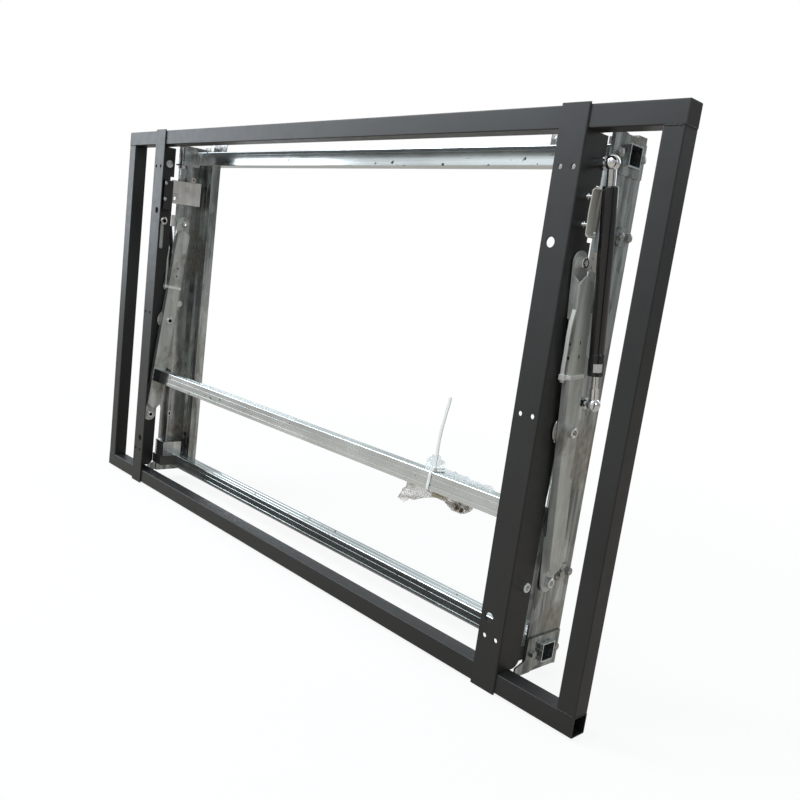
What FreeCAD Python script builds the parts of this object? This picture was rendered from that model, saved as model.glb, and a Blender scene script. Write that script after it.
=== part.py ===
import FreeCAD, Part
import math
import os

# Screen mount with a scissor and a gas spring on each side, in the closed position.
# Millimetres. X runs to the viewer's right, the front faces -Y and +Z is up. The origin is the
# centre of the mount on the wall plane. A depth is a distance behind the frame's front face.

# Front frame
frame_width = 1213.0
frame_height = 684.0
frame_tube = 25.0
frame_wall = 1.5
tube_corner = 1.4
plug_length = 8.0

# Front angles, which carry the screen
angle_inset = 113.5
angle_web = 37.0
angle_flange = 40.0
angle_sheet = 2.0
angle_overhang = 2.0
angle_bend = 1.8
angle_corner = 12.0
notch_depth = 7.0
notch_height = 62.0
notch_shift = 5.0
screen_hole = 6.0
screen_hole_pitch = 17.8
screen_row_drop = 65.0
access_hole = 12.0
access_hole_shift = 5.5
access_hole_drop = 146.3
access_hole_rise = 89.5

# Rear rails, which carry the scissors
rail_width = 50.0
rail_sheet = 2.5
rail_top_drop = 15.0
rail_foot_rise = 12.0
rail_rear_lip = 12.0
rail_front_flange = 30.5
rail_front_lip = 6.0
rail_front_lip_height = 24.0

# Wall studs and cross bars
stud_width = 40.0
stud_depth = 18.0
stud_wall = 1.5
stud_end_drop = 12.0
groove_width = 3.0
groove_depth = 0.5
groove_pitch = 16.0
wall_hole = 9.0
wall_hole_drop = 92.0
bar_size = 25.0
bar_wall = 1.5
bar_drop = 38.0
bar_overhang = 8.5
bar_groove_pitch = 10.0

# End plates and straps that tie the rails to the studs
plate_sheet = 2.5
plate_border = 9.5
plate_peak = 6.0
plate_peak_depth = 24.0
plate_toe = 18.0
plate_foot_drop = 12.5
plate_wall_gap = 2.0
strap_length = 30.0
strap_height = 22.0
strap_wall_gap = 4.0
strap_bolt_inset = 8.0
strap_upper_rise = 37.0
strap_lower_rise = 7.0
frame_bolt_radius = 2.5
frame_bolt_flats = 9.0
frame_bolt_head = 4.0

# Scissor arms and their pins
pivot_rear_inset = 34.0
pivot_top_drop = 164.0
pivot_low_rise = 134.0
open_angle = 30.0
arm_width = 26.0
arm_sheet = 2.5
arm_channel = 10.0
arm_end = 14.0
arm_roof = 8.0
arm_hole_rise = 88.0
arm_hole_pitch = 16.0
arm_hole_radius = 2.4
tongue_length = 62.0
tongue_sheet = 2.5
outer_arm_gap = 1.5
inner_arm_gap = 1.0
disc_radius = 19.0
pin_radius = 4.0
pin_side_gap = 1.0
washer_radius = 8.0
cap_radius = 6.4
cap_socket = 6.0
cap_length = 6.0
nut_flats = 13.0
nut_length = 6.0

# Middle bar between the two inner arms
middle_bar_rise = 82.0

# Gas springs
spring_reach = 20.5
ball_drop_upper = 56.0
ball_depth_upper = 26.0
ball_rise_lower = 34.0
ball_inset_lower = 21.0
ball_radius = 6.0
socket_radius = 8.5
socket_flat = 1.0
socket_neck = 5.2
socket_hole = 4.5
stud_neck = 3.0
stud_hex = 13.0
stud_hex_length = 5.0
stud_spacer_radius = 6.0
stud_spacer_length = 6.0
upper_head_radius = 7.0
upper_head_length = 6.0
lower_head_radius = 6.0
lower_head_length = 3.0
tube_start = 24.0
rod_show = 15.8
tube_radius = 9.0
tube_bore = 7.5
tube_end_wall = 3.0
gland_length = 19.0
gland_radius = 9.5
gland_spigot = 10.0
rod_radius = 4.0
rod_socket_length = 20.0
piston_start = 26.0
piston_length = 12.0

# Press locks
lock_drop = 115.0
lock_height = 56.0
lock_width = 14.5
lock_front = 14.0
lock_depth = 19.5
lock_front_wall = 6.0
lock_end_wall = 7.0
lock_corner = 2.0
pawl_width = 6.0
pawl_inset = 4.0
pawl_hub = 5.6
pawl_pin = 2.5
pawl_pin_depth = 12.0
pawl_reach = 18.0
pawl_arm_radius = 3.5
peg_radius = 2.0
peg_length = 3.8
pawl_lift = 12.0
pawl_swing = 25.0
spring_ring = 5.0
spring_ring_width = 2.0
strike_height = 44.0
strike_shift = 9.0
strike_sheet = 2.2
strike_reach = 14.0
strike_seat = 6.0
strike_run = 32.4
strike_span = 25.4
strike_bush_radius = 4.5
strike_bush_bore = 2.5
strike_bush_length = 20.0
catch_width = 15.0
catch_reach = 8.0
catch_height = 22.0
catch_sheet = 2.0
catch_drop = 8.0
rivet_radius = 3.0
rivet_head = 1.2
rivet_pitch = 11.0
cover_standoff = 13.0
cover_dip = 2.0
cover_height = 52.0
cover_shift = 4.0
cover_width = 14.0
cover_sheet = 1.5
cover_front = 10.0
lock_screw_radius = 1.8
lock_screw_head = 3.2
lock_screw_cap = 1.6
lock_screw_nut = 2.5
lock_screw_high = 22.0
lock_screw_low = 8.0

# Hangers, levelling screws, top brackets and feet
hanger_width = 31.5
hanger_depth = 33.0
hanger_height = 33.0
hanger_sheet = 2.5
hanger_round = 20.0
hanger_drop = 2.5
level_screw_radius = 3.5
level_screw_flats = 12.0
level_screw_head = 5.5
level_screw_stub = 37.0
level_screw_inset = 16.0
level_screw_depth = 8.0
top_bracket_length = 106.0
top_bracket_depth = 16.0
top_bracket_sheet = 2.0
top_bracket_inset = 4.5
top_bracket_tab = 12.0
top_bracket_rise = 20.0
top_bracket_hole = 2.2
foot_width = 34.0
foot_reach = 6.0
foot_depth = 39.5
foot_height = 29.5
foot_sheet = 2.0
foot_slot = 5.0
foot_slot_inset = 11.3
pad_reach = 4.0
pad_height = 19.5
pad_inset = 1.5
pad_corner = 3.0

# Cable ties and the bag of fixings
tie_width = 5.0
tie_sheet = 1.3
tie_head = 8.0
tie_head_depth = 5.0
tie_head_lap = 2.0
tie_rise = 66.0
tie_tail_arm = 80.0
tie_tail_bar = 100.0
bar_tie_inset = 181.0
bag_length = 132.0
bag_height = 70.0
bag_depth = 14.0
bag_shift = 4.0
bag_rise = 17.0
bag_corner = 5.0

# Clearances
fit_clearance = 0.05
ball_clearance = 0.1
slide_clearance = 0.3
turn_clearance = 0.2
bar_clearance = 0.2
arm_rail_clearance = 2.6

# Margin past a wall for the solids that cut through it, and the reach of the edge tests
cut_margin = 1.0
edge_margin = 0.01

# Depths and heights that follow from the sizes above
top = frame_height / 2
side = frame_width / 2 - angle_inset
flange_inner = side - angle_sheet
rail_inner = side - rail_sheet
rail_front = angle_flange + 2 * (pin_radius + pin_side_gap)
rail_rear = rail_front + rail_width
bar_front = rail_rear - bar_size
bar_middle = bar_front + bar_size / 2
stud_front = rail_rear
mount_depth = stud_front + stud_depth
bar_rise = top - bar_drop
bar_low_edge = bar_rise - bar_size / 2
bar_high_edge = bar_rise + bar_size / 2

# Scissor geometry
pivot_mid_depth = (angle_flange + rail_front) / 2
pivot_rear = rail_rear - pivot_rear_inset
pivot_front = 2 * pivot_mid_depth - pivot_rear
pivot_top = top - pivot_top_drop
pivot_low = pivot_low_rise - top
pivot_mid = (pivot_top + pivot_low) / 2
arm_rise = pivot_top - pivot_low
arm_run = pivot_rear - pivot_front
arm_length = math.hypot(arm_rise, arm_run)
closed_lean = math.degrees(math.atan2(arm_run, arm_rise))
slot_travel = arm_rise - arm_length * math.cos(math.radians(open_angle))
open_travel = arm_length * math.sin(math.radians(open_angle)) - arm_run
outer_tongue = side + outer_arm_gap
outer_edge = outer_tongue + tongue_sheet
outer_face = outer_edge + arm_channel
inner_tongue = rail_inner - inner_arm_gap
inner_edge = inner_tongue - tongue_sheet
inner_face = inner_edge - arm_channel
middle_bar = pivot_low + middle_bar_rise
middle_bar_depth = pivot_front + arm_run * middle_bar_rise / arm_rise
bar_tie_place = side - bar_tie_inset
bag_place = bar_tie_place + bag_shift

# Gas spring geometry
spring_x = side + spring_reach
ball_upper = top - ball_drop_upper
ball_lower = pivot_mid + ball_rise_lower
ball_depth_lower = rail_front + ball_inset_lower
spring_rise = ball_upper - ball_lower
spring_run = ball_depth_lower - ball_depth_upper
spring_length = math.hypot(spring_rise, spring_run)
spring_lean = math.degrees(math.atan2(spring_run, spring_rise))
tube_end = spring_length - rod_socket_length - rod_show - gland_length
socket_face = spring_x - socket_radius + socket_flat

# Lock, foot and hanger geometry
lock_mid = top - lock_drop
strike_mid = lock_mid + strike_shift
pawl_depth = lock_front + pawl_pin_depth
pawl_low_x = flange_inner - lock_width + pawl_inset
pawl_high_x = pawl_low_x + pawl_width
foot_top = foot_height - bar_low_edge
hanger_floor = bar_low_edge - hanger_drop


def at_depth(depth):
    """Y of a point that lies depth behind the frame's front face."""
    return depth - mount_depth


def vec(x, y, z):
    return FreeCAD.Vector(x, y, z)


def block(xs, depths, zs):
    """Box between a low and a high value of x, depth and z."""
    corner = vec(xs[0], at_depth(depths[0]), zs[0])
    return Part.makeBox(xs[1] - xs[0], depths[1] - depths[0], zs[1] - zs[0], corner)


def prism(points, direction):
    """Closed polygon through 3-D points, extruded along a direction."""
    wire = Part.makePolygon([vec(*p) for p in points] + [vec(*points[0])])
    return Part.Face(wire).extrude(vec(*direction))


def side_plate(outline, x_low, x_high):
    """Plate parallel to the sides of the mount, its outline in (depth, z)."""
    return prism([(x_low, at_depth(d), z) for d, z in outline], (x_high - x_low, 0, 0))


def rod_x(x_low, x_high, depth, z, radius):
    return Part.makeCylinder(radius, x_high - x_low, vec(x_low, at_depth(depth), z), vec(1, 0, 0))


def rod_y(depth_low, depth_high, x, z, radius):
    start = vec(x, at_depth(depth_low), z)
    return Part.makeCylinder(radius, depth_high - depth_low, start, vec(0, 1, 0))


def rod_z(z_low, z_high, x, depth, radius):
    return Part.makeCylinder(radius, z_high - z_low, vec(x, at_depth(depth), z_low))


def ring_x(x_low, x_high, depth, z, radius, bore):
    return rod_x(x_low, x_high, depth, z, radius).cut(rod_x(x_low, x_high, depth, z, bore))


def hexagon(flats):
    """Corners of a hexagon, given the distance across its flats."""
    radius = flats / math.sqrt(3)
    angles = [math.radians(60 * i) for i in range(6)]
    return [(radius * math.sin(a), radius * math.cos(a)) for a in angles]


def hex_x(x_low, x_high, depth, z, flats):
    return side_plate([(depth + u, z + v) for u, v in hexagon(flats)], x_low, x_high)


def hex_z(z_low, z_high, x, depth, flats):
    corners = [(x + u, at_depth(depth) + v, z_low) for u, v in hexagon(flats)]
    return prism(corners, (0, 0, z_high - z_low))


def nut_x(x_low, x_high, depth, z):
    return hex_x(x_low, x_high, depth, z, nut_flats).cut(rod_x(x_low, x_high, depth, z, pin_radius))


def cap_screw(seat, end, depth, z):
    """Socket-head screw along X. Its head lies against the seat, on the side away from its end."""
    outward = 1 if seat > end else -1
    face = seat + outward * cap_length
    middle = seat + outward * cap_length / 2
    shank = rod_x(min(seat, end), max(seat, end), depth, z, pin_radius)
    head = rod_x(min(seat, face), max(seat, face), depth, z, cap_radius)
    socket = hex_x(min(middle, face), max(middle, face), depth, z, cap_socket)
    return shank.fuse(head).cut(socket)


def strip(points, thickness):
    """Outline of a bent sheet whose middle line follows the points, with mitred bends."""
    left = []
    right = []
    for i, (u, v) in enumerate(points):
        legs = [(points[j], points[j + 1]) for j in (i - 1, i) if 0 <= j < len(points) - 1]
        normals = []
        for (u0, v0), (u1, v1) in legs:
            length = math.hypot(u1 - u0, v1 - v0)
            normals.append(((v0 - v1) / length, (u1 - u0) / length))
        nu = sum(n[0] for n in normals) / len(normals)
        nv = sum(n[1] for n in normals) / len(normals)
        reach = thickness / 2 / (nu * nu + nv * nv)
        left.append((u + nu * reach, v + nv * reach))
        right.append((u - nu * reach, v - nv * reach))
    return left + right[::-1]


def fillet_where(shape, radius, chosen):
    """Round the edges whose middle point passes the test."""
    edges = []
    for edge in shape.Edges:
        if chosen(edge.valueAt((edge.FirstParameter + edge.LastParameter) / 2)):
            edges.append(edge)
    return shape.makeFillet(radius, edges)


def near(a, b):
    return abs(a - b) < edge_margin


def slot_x(x_low, x_high, depth, z_low, z_high, radius):
    """Round-ended slot along Z, as a solid to cut with."""
    body = block((x_low, x_high), (depth - radius, depth + radius), (z_low, z_high))
    return body.fuse([rod_x(x_low, x_high, depth, z, radius) for z in (z_low, z_high)])


def turned(shape, degrees, depth, z):
    """Shape turned about a line along X; positive brings its top to the front."""
    copy = shape.copy()
    copy.rotate(vec(0, at_depth(depth), z), vec(1, 0, 0), degrees)
    return copy


def mirrored(shape):
    return shape.mirror(vec(0, 0, 0), vec(1, 0, 0))


def on_both_sides(shapes):
    """The right-hand solids and their mirror images, as one group."""
    return Part.makeCompound(shapes + [mirrored(s) for s in shapes])


def tube_x(half_length, depth, z, size, wall):
    """Square tube along X with rounded outer corners, centred on x = 0."""
    xs = (-half_length, half_length)
    half = size / 2
    bore = half - wall
    outer = block(xs, (depth - half, depth + half), (z - half, z + half))
    outer = fillet_where(outer, tube_corner, lambda p: near(p.x, 0))
    return outer.cut(block(xs, (depth - bore, depth + bore), (z - bore, z + bore)))


def grooved_bar(half_length, depth, z):
    """Square tube along X with two shallow grooves in its front and two in its top."""
    half = bar_size / 2
    xs = (-half_length, half_length)
    grooves = []
    for offset in (-bar_groove_pitch / 2, bar_groove_pitch / 2):
        low = offset - groove_width / 2
        high = offset + groove_width / 2
        grooves.append(block(xs, (depth - half, depth - half + groove_depth), (z + low, z + high)))
        grooves.append(block(xs, (depth + low, depth + high), (z + half - groove_depth, z + half)))
    return tube_x(half_length, depth, z, bar_size, bar_wall).cut(grooves)


# Front frame: four tubes and the plugs in the upper one
def build_front_frame(parts):
    half = frame_tube / 2
    wide = frame_width / 2
    bore = half - frame_wall
    parts["frame_top"] = tube_x(wide, half, top - half, frame_tube, frame_wall)
    parts["frame_bottom"] = tube_x(wide, half, half - top, frame_tube, frame_wall)
    zs = (frame_tube - top, top - frame_tube)
    upright = block((wide - frame_tube, wide), (0, frame_tube), zs)
    upright = fillet_where(upright, tube_corner, lambda p: near(p.z, 0))
    upright = upright.cut(block((wide - half - bore, wide - half + bore), (half - bore, half + bore), zs))
    parts["frame_right"] = upright
    parts["frame_left"] = mirrored(upright)
    plug = block((wide - plug_length, wide), (half - bore, half + bore),
                 (top - half - bore, top - half + bore))
    parts["frame_end_caps"] = on_both_sides([plug])


# Front angles: a web with the screen's holes and a flange with the scissor's slot
def build_front_angles(parts):
    flange_top = top - frame_tube
    notch_low = lock_mid + notch_shift - notch_height / 2
    notch_high = notch_low + notch_height
    notch_floor = angle_flange - notch_depth
    outline = [(0, -flange_top), (angle_flange, -flange_top), (angle_flange, notch_low),
               (notch_floor, notch_low), (notch_floor, notch_high), (angle_flange, notch_high),
               (angle_flange, flange_top), (0, flange_top)]
    flange = side_plate(outline, flange_inner, side)
    rear_y = at_depth(angle_flange)
    flange = fillet_where(flange, angle_corner, lambda p: near(p.y, rear_y) and p.z < 0
                          and near(p.x, (flange_inner + side) / 2))
    web_end = top + angle_overhang
    web = block((side - angle_web, side), (-angle_sheet, 0), (-web_end, web_end))
    front_y = at_depth(-angle_sheet)
    angle = web.fuse(flange).removeSplitter()
    angle = fillet_where(angle, angle_bend, lambda p: near(p.x, side) and near(p.y, front_y))

    cuts = []
    middle = side - angle_web / 2
    row = top - screen_row_drop
    for z in (-row, 0, row):
        for x in (middle - screen_hole_pitch / 2, middle + screen_hole_pitch / 2):
            cuts.append(rod_y(-2 * angle_sheet, angle_sheet, x, z, screen_hole / 2))
    for z in (top - access_hole_drop, access_hole_rise - top):
        cuts.append(rod_y(-2 * angle_sheet, angle_sheet, middle - access_hole_shift, z, access_hole / 2))
    xs = (flange_inner - cut_margin, side + cut_margin)
    cuts.append(slot_x(*xs, pivot_front, pivot_top - slot_travel, pivot_top, pin_radius + slide_clearance))
    cuts.append(rod_x(*xs, pivot_front, pivot_low, pin_radius + fit_clearance))
    cuts.append(rod_x(*xs, ball_depth_upper, ball_upper, stud_neck + fit_clearance))
    for rise in lock_screw_rises():
        cuts.append(rod_x(*xs, lock_screw_depth(), lock_mid + rise, lock_screw_radius + fit_clearance))
    angle = angle.cut(cuts)
    parts["front_angle_right"] = angle
    parts["front_angle_left"] = mirrored(angle)


def strap_rows():
    return (pivot_top + strap_upper_rise, pivot_low + strap_lower_rise)


def frame_bolt_places():
    """Depth and z of the bolts that hold the end plates and straps to the rails and studs."""
    rail_column = (rail_front + bar_front) / 2
    stud_column = stud_front + stud_depth / 2
    strap_column = rail_rear - strap_bolt_inset
    places = [(d, z) for z in (bar_rise, -bar_rise) for d in (rail_column, stud_column)]
    return places + [(d, z) for z in strap_rows() for d in (strap_column, stud_column)]


# Rear rails: a web with the scissor's slot, a rear lip and two stretches of front flange
def build_rear_rails(parts):
    web = block((rail_inner, side), (rail_front, rail_rear), (rail_foot_rise - top, top - rail_top_drop))
    rear_lip = block((rail_inner - rail_rear_lip, rail_inner), (rail_rear - rail_sheet, rail_rear),
                     (foot_top, hanger_floor - hanger_sheet))
    reach = rail_front - arm_rail_clearance - arm_width / 2 - pivot_front
    flange = block((rail_inner - rail_front_flange, rail_inner), (rail_front, rail_front + rail_sheet),
                   (foot_top, pivot_low + arm_rise * reach / arm_run))
    lip_low = strike_mid + strike_height / 2 + slide_clearance
    front_lip = block((rail_inner - rail_front_lip, rail_inner), (rail_front, rail_front + rail_sheet),
                      (lip_low, lip_low + rail_front_lip_height))
    rail = web.fuse([rear_lip, flange, front_lip]).removeSplitter()

    xs = (rail_inner - cut_margin, side + cut_margin)
    half = bar_size / 2 + bar_clearance
    cuts = []
    for z in (-bar_rise, bar_rise):
        cuts.append(block(xs, (bar_front - bar_clearance, rail_rear + cut_margin), (z - half, z + half)))
    cuts.append(slot_x(*xs, pivot_rear, pivot_top - slot_travel, pivot_top, pin_radius + slide_clearance))
    cuts.append(rod_x(*xs, pivot_rear, pivot_low, pin_radius + fit_clearance))
    cuts.append(rod_x(*xs, ball_depth_lower, ball_lower, stud_neck + fit_clearance))
    for depth, z in frame_bolt_places():
        if depth < rail_rear:
            cuts.append(rod_x(*xs, depth, z, frame_bolt_radius + fit_clearance))
    rail = rail.cut(cuts)
    parts["rear_rail_right"] = rail
    parts["rear_rail_left"] = mirrored(rail)


# Wall studs: rectangular tubes with two grooves in front and holes for the wall anchors
def build_wall_studs(parts):
    end = top - stud_end_drop
    middle = side - stud_width / 2
    wall = stud_wall
    stud = block((side - stud_width, side), (stud_front, mount_depth), (-end, end))
    stud = stud.cut(block((side - stud_width + wall, side - wall), (stud_front + wall, mount_depth - wall),
                          (-end, end)))
    cuts = []
    for x in (middle - groove_pitch / 2, middle + groove_pitch / 2):
        cuts.append(block((x - groove_width / 2, x + groove_width / 2),
                          (stud_front, stud_front + groove_depth), (-end, end)))
    for z in (wall_hole_drop - top, top - wall_hole_drop):
        cuts.append(rod_y(stud_front - cut_margin, mount_depth + cut_margin, middle, z, wall_hole / 2))
    for depth, z in frame_bolt_places():
        if depth > stud_front:
            cuts.append(rod_x(side - wall - cut_margin, side + cut_margin, depth, z,
                              frame_bolt_radius + fit_clearance))
    stud = stud.cut(cuts)
    parts["wall_stud_right"] = stud
    parts["wall_stud_left"] = mirrored(stud)


# Cross bars, which join the two studs and stand out past them
def build_cross_bars(parts):
    parts["cross_bar_upper"] = grooved_bar(side + bar_overhang, bar_middle, bar_rise)
    parts["cross_bar_lower"] = grooved_bar(side + bar_overhang, bar_middle, -bar_rise)


# End plates, straps and the bolts that hold them
def build_plates(parts):
    xs = (side, side + plate_sheet)
    rear = mount_depth - plate_wall_gap
    low = bar_low_edge - plate_border
    high = bar_high_edge + plate_border / 2
    shoulder = rail_front + plate_peak_depth
    upper = [(rail_front, low), (rear, low), (rear, high), (shoulder + plate_peak, high),
             (shoulder, high + plate_peak), (rail_front, high + plate_peak)]
    foot = bar_high_edge + plate_foot_drop
    toe = rail_front - plate_toe
    lower = [(rail_front, -low), (rear, -low), (rear, -foot), (shoulder, plate_peak - foot),
             (shoulder - 2 * plate_peak, -foot), (toe, -foot), (toe, 2 * plate_peak - foot),
             (rail_front, 3 * plate_peak - foot)]
    half = bar_size / 2 + bar_clearance
    holes = [rod_x(*xs, d, z, frame_bolt_radius + fit_clearance) for d, z in frame_bolt_places()]
    bar_holes = [block(xs, (bar_middle - half, bar_middle + half), (z - half, z + half))
                 for z in (bar_rise, -bar_rise)]
    plates = [side_plate(outline, *xs).cut(holes + bar_holes) for outline in (upper, lower)]
    parts["end_plates_right"] = Part.makeCompound(plates)
    parts["end_plates_left"] = mirrored(Part.makeCompound(plates))

    radius = strap_height / 2
    last = mount_depth - strap_wall_gap - radius
    first = last - strap_length + strap_height
    straps = []
    for z in strap_rows():
        strap = block(xs, (first, last), (z - radius, z + radius))
        strap = strap.fuse([rod_x(*xs, d, z, radius) for d in (first, last)]).removeSplitter()
        straps.append(strap.cut(holes))
    parts["tie_straps"] = on_both_sides(straps)

    bolts = []
    for depth, z in frame_bolt_places():
        shank = rod_x(rail_inner, xs[1], depth, z, frame_bolt_radius)
        bolts.append(shank.fuse(hex_x(xs[1], xs[1] + frame_bolt_head, depth, z, frame_bolt_flats)))
    parts["wall_frame_bolts"] = on_both_sides(bolts)


# Hangers with their levelling screws, and the top brackets
def build_hangers(parts):
    inner = rail_inner - hanger_width
    depths = (bar_front - hanger_depth, bar_front)
    floor = block((inner, rail_inner), depths, (hanger_floor - hanger_sheet, hanger_floor))
    cheek = block((inner, inner + hanger_sheet), depths, (hanger_floor, hanger_floor + hanger_height))
    rear_y = at_depth(bar_front)
    cheek = fillet_where(cheek, hanger_round, lambda p: near(p.y, rear_y)
                         and near(p.z, hanger_floor + hanger_height))
    x = rail_inner - level_screw_inset
    depth = depths[0] + level_screw_depth
    hole = rod_z(hanger_floor - hanger_sheet, hanger_floor, x, depth, level_screw_radius + fit_clearance)
    parts["hanger_brackets"] = on_both_sides([floor.fuse(cheek).removeSplitter().cut(hole)])

    under = hanger_floor - hanger_sheet
    screw = rod_z(under, hanger_floor + level_screw_stub, x, depth, level_screw_radius)
    head = hex_z(under - level_screw_head, under, x, depth, level_screw_flats)
    nut = hex_z(hanger_floor, hanger_floor + level_screw_head, x, depth, level_screw_flats)
    nut = nut.cut(rod_z(hanger_floor, hanger_floor + level_screw_head, x, depth, level_screw_radius))
    parts["level_screws"] = on_both_sides([screw.fuse(head), nut])

    sheet = top_bracket_sheet
    high_x = rail_inner - top_bracket_inset
    low_x = high_x - top_bracket_length
    front = stud_front - top_bracket_depth
    base = block((low_x, high_x), (front, stud_front), (bar_high_edge, bar_high_edge + sheet))
    ridge = bar_high_edge + top_bracket_rise
    tab = block((low_x, low_x + top_bracket_tab), (front, front + sheet), (bar_high_edge, ridge))
    gusset = [(low_x, bar_high_edge), (low_x, ridge), (high_x - top_bracket_rise, ridge)]
    web = prism([(x, at_depth(front), z) for x, z in gusset], (0, sheet, 0))
    hole = rod_y(front, front + sheet, low_x + top_bracket_tab / 2,
                 bar_high_edge + top_bracket_rise / 2 + sheet / 2, top_bracket_hole)
    parts["top_brackets"] = on_both_sides([base.fuse([tab, web]).removeSplitter().cut(hole)])


# Feet: an open box on the lower cross bar and a dark pad under it
def build_feet(parts):
    xs = (rail_inner - foot_width, rail_inner)
    depths = (rail_front - foot_reach, rail_front - foot_reach + foot_depth)
    zs = (-bar_low_edge, foot_top)
    sheet = foot_sheet
    shell = block(xs, depths, zs)
    hollow = block((xs[0] + sheet, xs[1]), (depths[0] + sheet, depths[1]), (zs[0], zs[1] - sheet))
    slot_low = xs[0] + foot_slot_inset
    slot = block((slot_low, slot_low + foot_slot), (depths[0] + 2 * foot_slot, depths[1] - 2 * foot_slot),
                 (zs[1] - sheet, zs[1]))
    parts["foot_brackets"] = on_both_sides([shell.cut([hollow, slot])])
    pad_front = depths[0] - pad_reach
    pad = block((xs[0] + pad_inset, xs[1]), (pad_front, bar_front - bar_clearance),
                (zs[0] - pad_height, zs[0]))
    pad = fillet_where(pad, pad_corner, lambda p: near(p.y, at_depth(pad_front))
                       and near(p.z, zs[0] - pad_height))
    parts["foot_pads"] = on_both_sides([pad])


def arm_solid(tongue_x, edge_x, face_x):
    """Channel arm with its lower pivot at depth 0 and z 0, and the upper one straight above.

    The channel's web ends at face_x and its mouth is at edge_x, where the tongues lie on it.
    """
    half = arm_width / 2
    xs = (min(edge_x, face_x), max(edge_x, face_x))
    tongue_xs = (min(tongue_x, edge_x), max(tongue_x, edge_x))
    low = arm_end
    high = arm_length - arm_end
    mouth = -arm_sheet if face_x > edge_x else arm_sheet
    core = block((xs[0] + mouth, xs[1] + mouth), (arm_sheet - half, half - arm_sheet), (low, high))
    arm = block(xs, (-half, half), (low, high)).cut(core)
    web_xs = (min(face_x, face_x + mouth), max(face_x, face_x + mouth))
    for z, inward in ((low, arm_roof), (high, -arm_roof)):
        corner = [(face_x, z), (face_x, z + inward), (edge_x, z)]
        for start in (-half, half - arm_sheet):
            arm = arm.cut(prism([(x, at_depth(start), zz) for x, zz in corner], (0, arm_sheet, 0)))
        for reach in (-half, half):
            arm = arm.cut(side_plate([(reach, z), (reach, z + inward), (0, z)], *web_xs))
    for pivot, far in ((0, tongue_length), (arm_length, arm_length - tongue_length)):
        plate = block(tongue_xs, (-half, half), (min(pivot, far), max(pivot, far)))
        arm = arm.fuse([plate, rod_x(*tongue_xs, 0, pivot, half)])
    arm = arm.removeSplitter()
    reach = (min(tongue_x, face_x), max(tongue_x, face_x))
    cuts = [rod_x(*reach, 0, z, pin_radius + fit_clearance) for z in (0, arm_length / 2, arm_length)]
    x = (edge_x + face_x + mouth) / 2
    first = arm_length / 2 + arm_hole_rise
    for z in (first, first + arm_hole_pitch):
        cuts.append(rod_y(-half, arm_sheet - half, x, z, arm_hole_radius))
        cuts.append(slot_x(*reach, 0, z, z + arm_hole_radius, arm_hole_radius / 2))
    return arm.cut(cuts)


def on_outer_arm(shape):
    """Shape made on an upright arm, moved to the outer arm's place."""
    copy = shape.copy()
    copy.translate(vec(0, pivot_rear, pivot_low))
    return turned(copy, closed_lean, pivot_rear, pivot_low)


def on_inner_arm(shape):
    """Shape made on an upright arm, moved to the inner arm's place."""
    copy = shape.copy()
    copy.translate(vec(0, pivot_front, pivot_low))
    return turned(copy, -closed_lean, pivot_front, pivot_low)


# Scissor arms
def build_arms(parts):
    outer = on_outer_arm(arm_solid(outer_tongue, outer_edge, outer_face))
    parts["outer_arm_right"] = outer
    parts["outer_arm_left"] = mirrored(outer)
    inner = on_inner_arm(arm_solid(inner_tongue, inner_edge, inner_face))
    parts["inner_arm_right"] = inner
    parts["inner_arm_left"] = mirrored(inner)


# Centre pivots: bolt, nut, bush and disc of the outer arm, bush and disc of the inner one
def build_centre_pivots(parts):
    place = (pivot_mid_depth, pivot_mid)
    gap = turn_clearance
    end = inner_face - gap - nut_length
    bolt = cap_screw(outer_face, end, *place)
    nut = nut_x(end, inner_face - gap, *place)
    disc = ring_x(side + 3 * gap, outer_edge, *place, disc_radius, pin_radius)
    bush = ring_x(outer_edge, outer_face - arm_sheet, *place, washer_radius, pin_radius)
    pivot = Part.makeCompound([bolt, nut, disc, bush])
    parts["centre_pivot_right"] = pivot
    parts["centre_pivot_left"] = mirrored(pivot)
    bore = pin_radius + fit_clearance
    disc = ring_x(inner_edge, rail_inner - 2 * gap, *place, disc_radius, bore)
    bush = ring_x(inner_face + arm_sheet, inner_edge, *place, washer_radius, bore)
    parts["inner_pivot_discs"] = on_both_sides([disc, bush])


# Pins at the arms' upper ends, which slide in the slots
def build_slide_pins(parts):
    gap = turn_clearance
    place = (pivot_front, pivot_top)
    end = flange_inner - gap - nut_length
    pin = cap_screw(outer_edge, end, *place)
    nut = nut_x(end, flange_inner - gap, *place)
    shoe = ring_x(side + gap, outer_tongue, *place, washer_radius, pin_radius)
    pins = Part.makeCompound([pin, nut, shoe])
    parts["outer_slide_pin_right"] = pins
    parts["outer_slide_pin_left"] = mirrored(pins)

    place = (pivot_rear, pivot_top)
    end = side + gap + nut_length
    pin = cap_screw(inner_edge, end, *place)
    nut = nut_x(side + gap, end, *place)
    shoe = ring_x(inner_tongue, rail_inner - gap, *place, washer_radius, pin_radius)
    parts["inner_slide_pins"] = on_both_sides([pin, nut, shoe])


# Bolts at the arms' lower ends, fixed to the rail and to the front angle
def build_pivot_bolts(parts):
    gap = turn_clearance
    place = (pivot_rear, pivot_low)
    end = rail_inner - nut_length
    bolt = cap_screw(outer_edge + gap, end, *place)
    nut = nut_x(end, rail_inner, *place)
    spacer = ring_x(side, outer_tongue - gap, *place, washer_radius, pin_radius)
    parts["rear_pivot_bolts"] = on_both_sides([bolt, nut, spacer])

    place = (pivot_front, pivot_low)
    end = inner_edge - gap - nut_length
    bolt = cap_screw(side, end, *place)
    nut = nut_x(end, inner_edge - gap, *place)
    spacer = ring_x(inner_tongue + gap, flange_inner, *place, washer_radius, pin_radius)
    parts["front_pivot_bolts"] = on_both_sides([bolt, nut, spacer])


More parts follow.
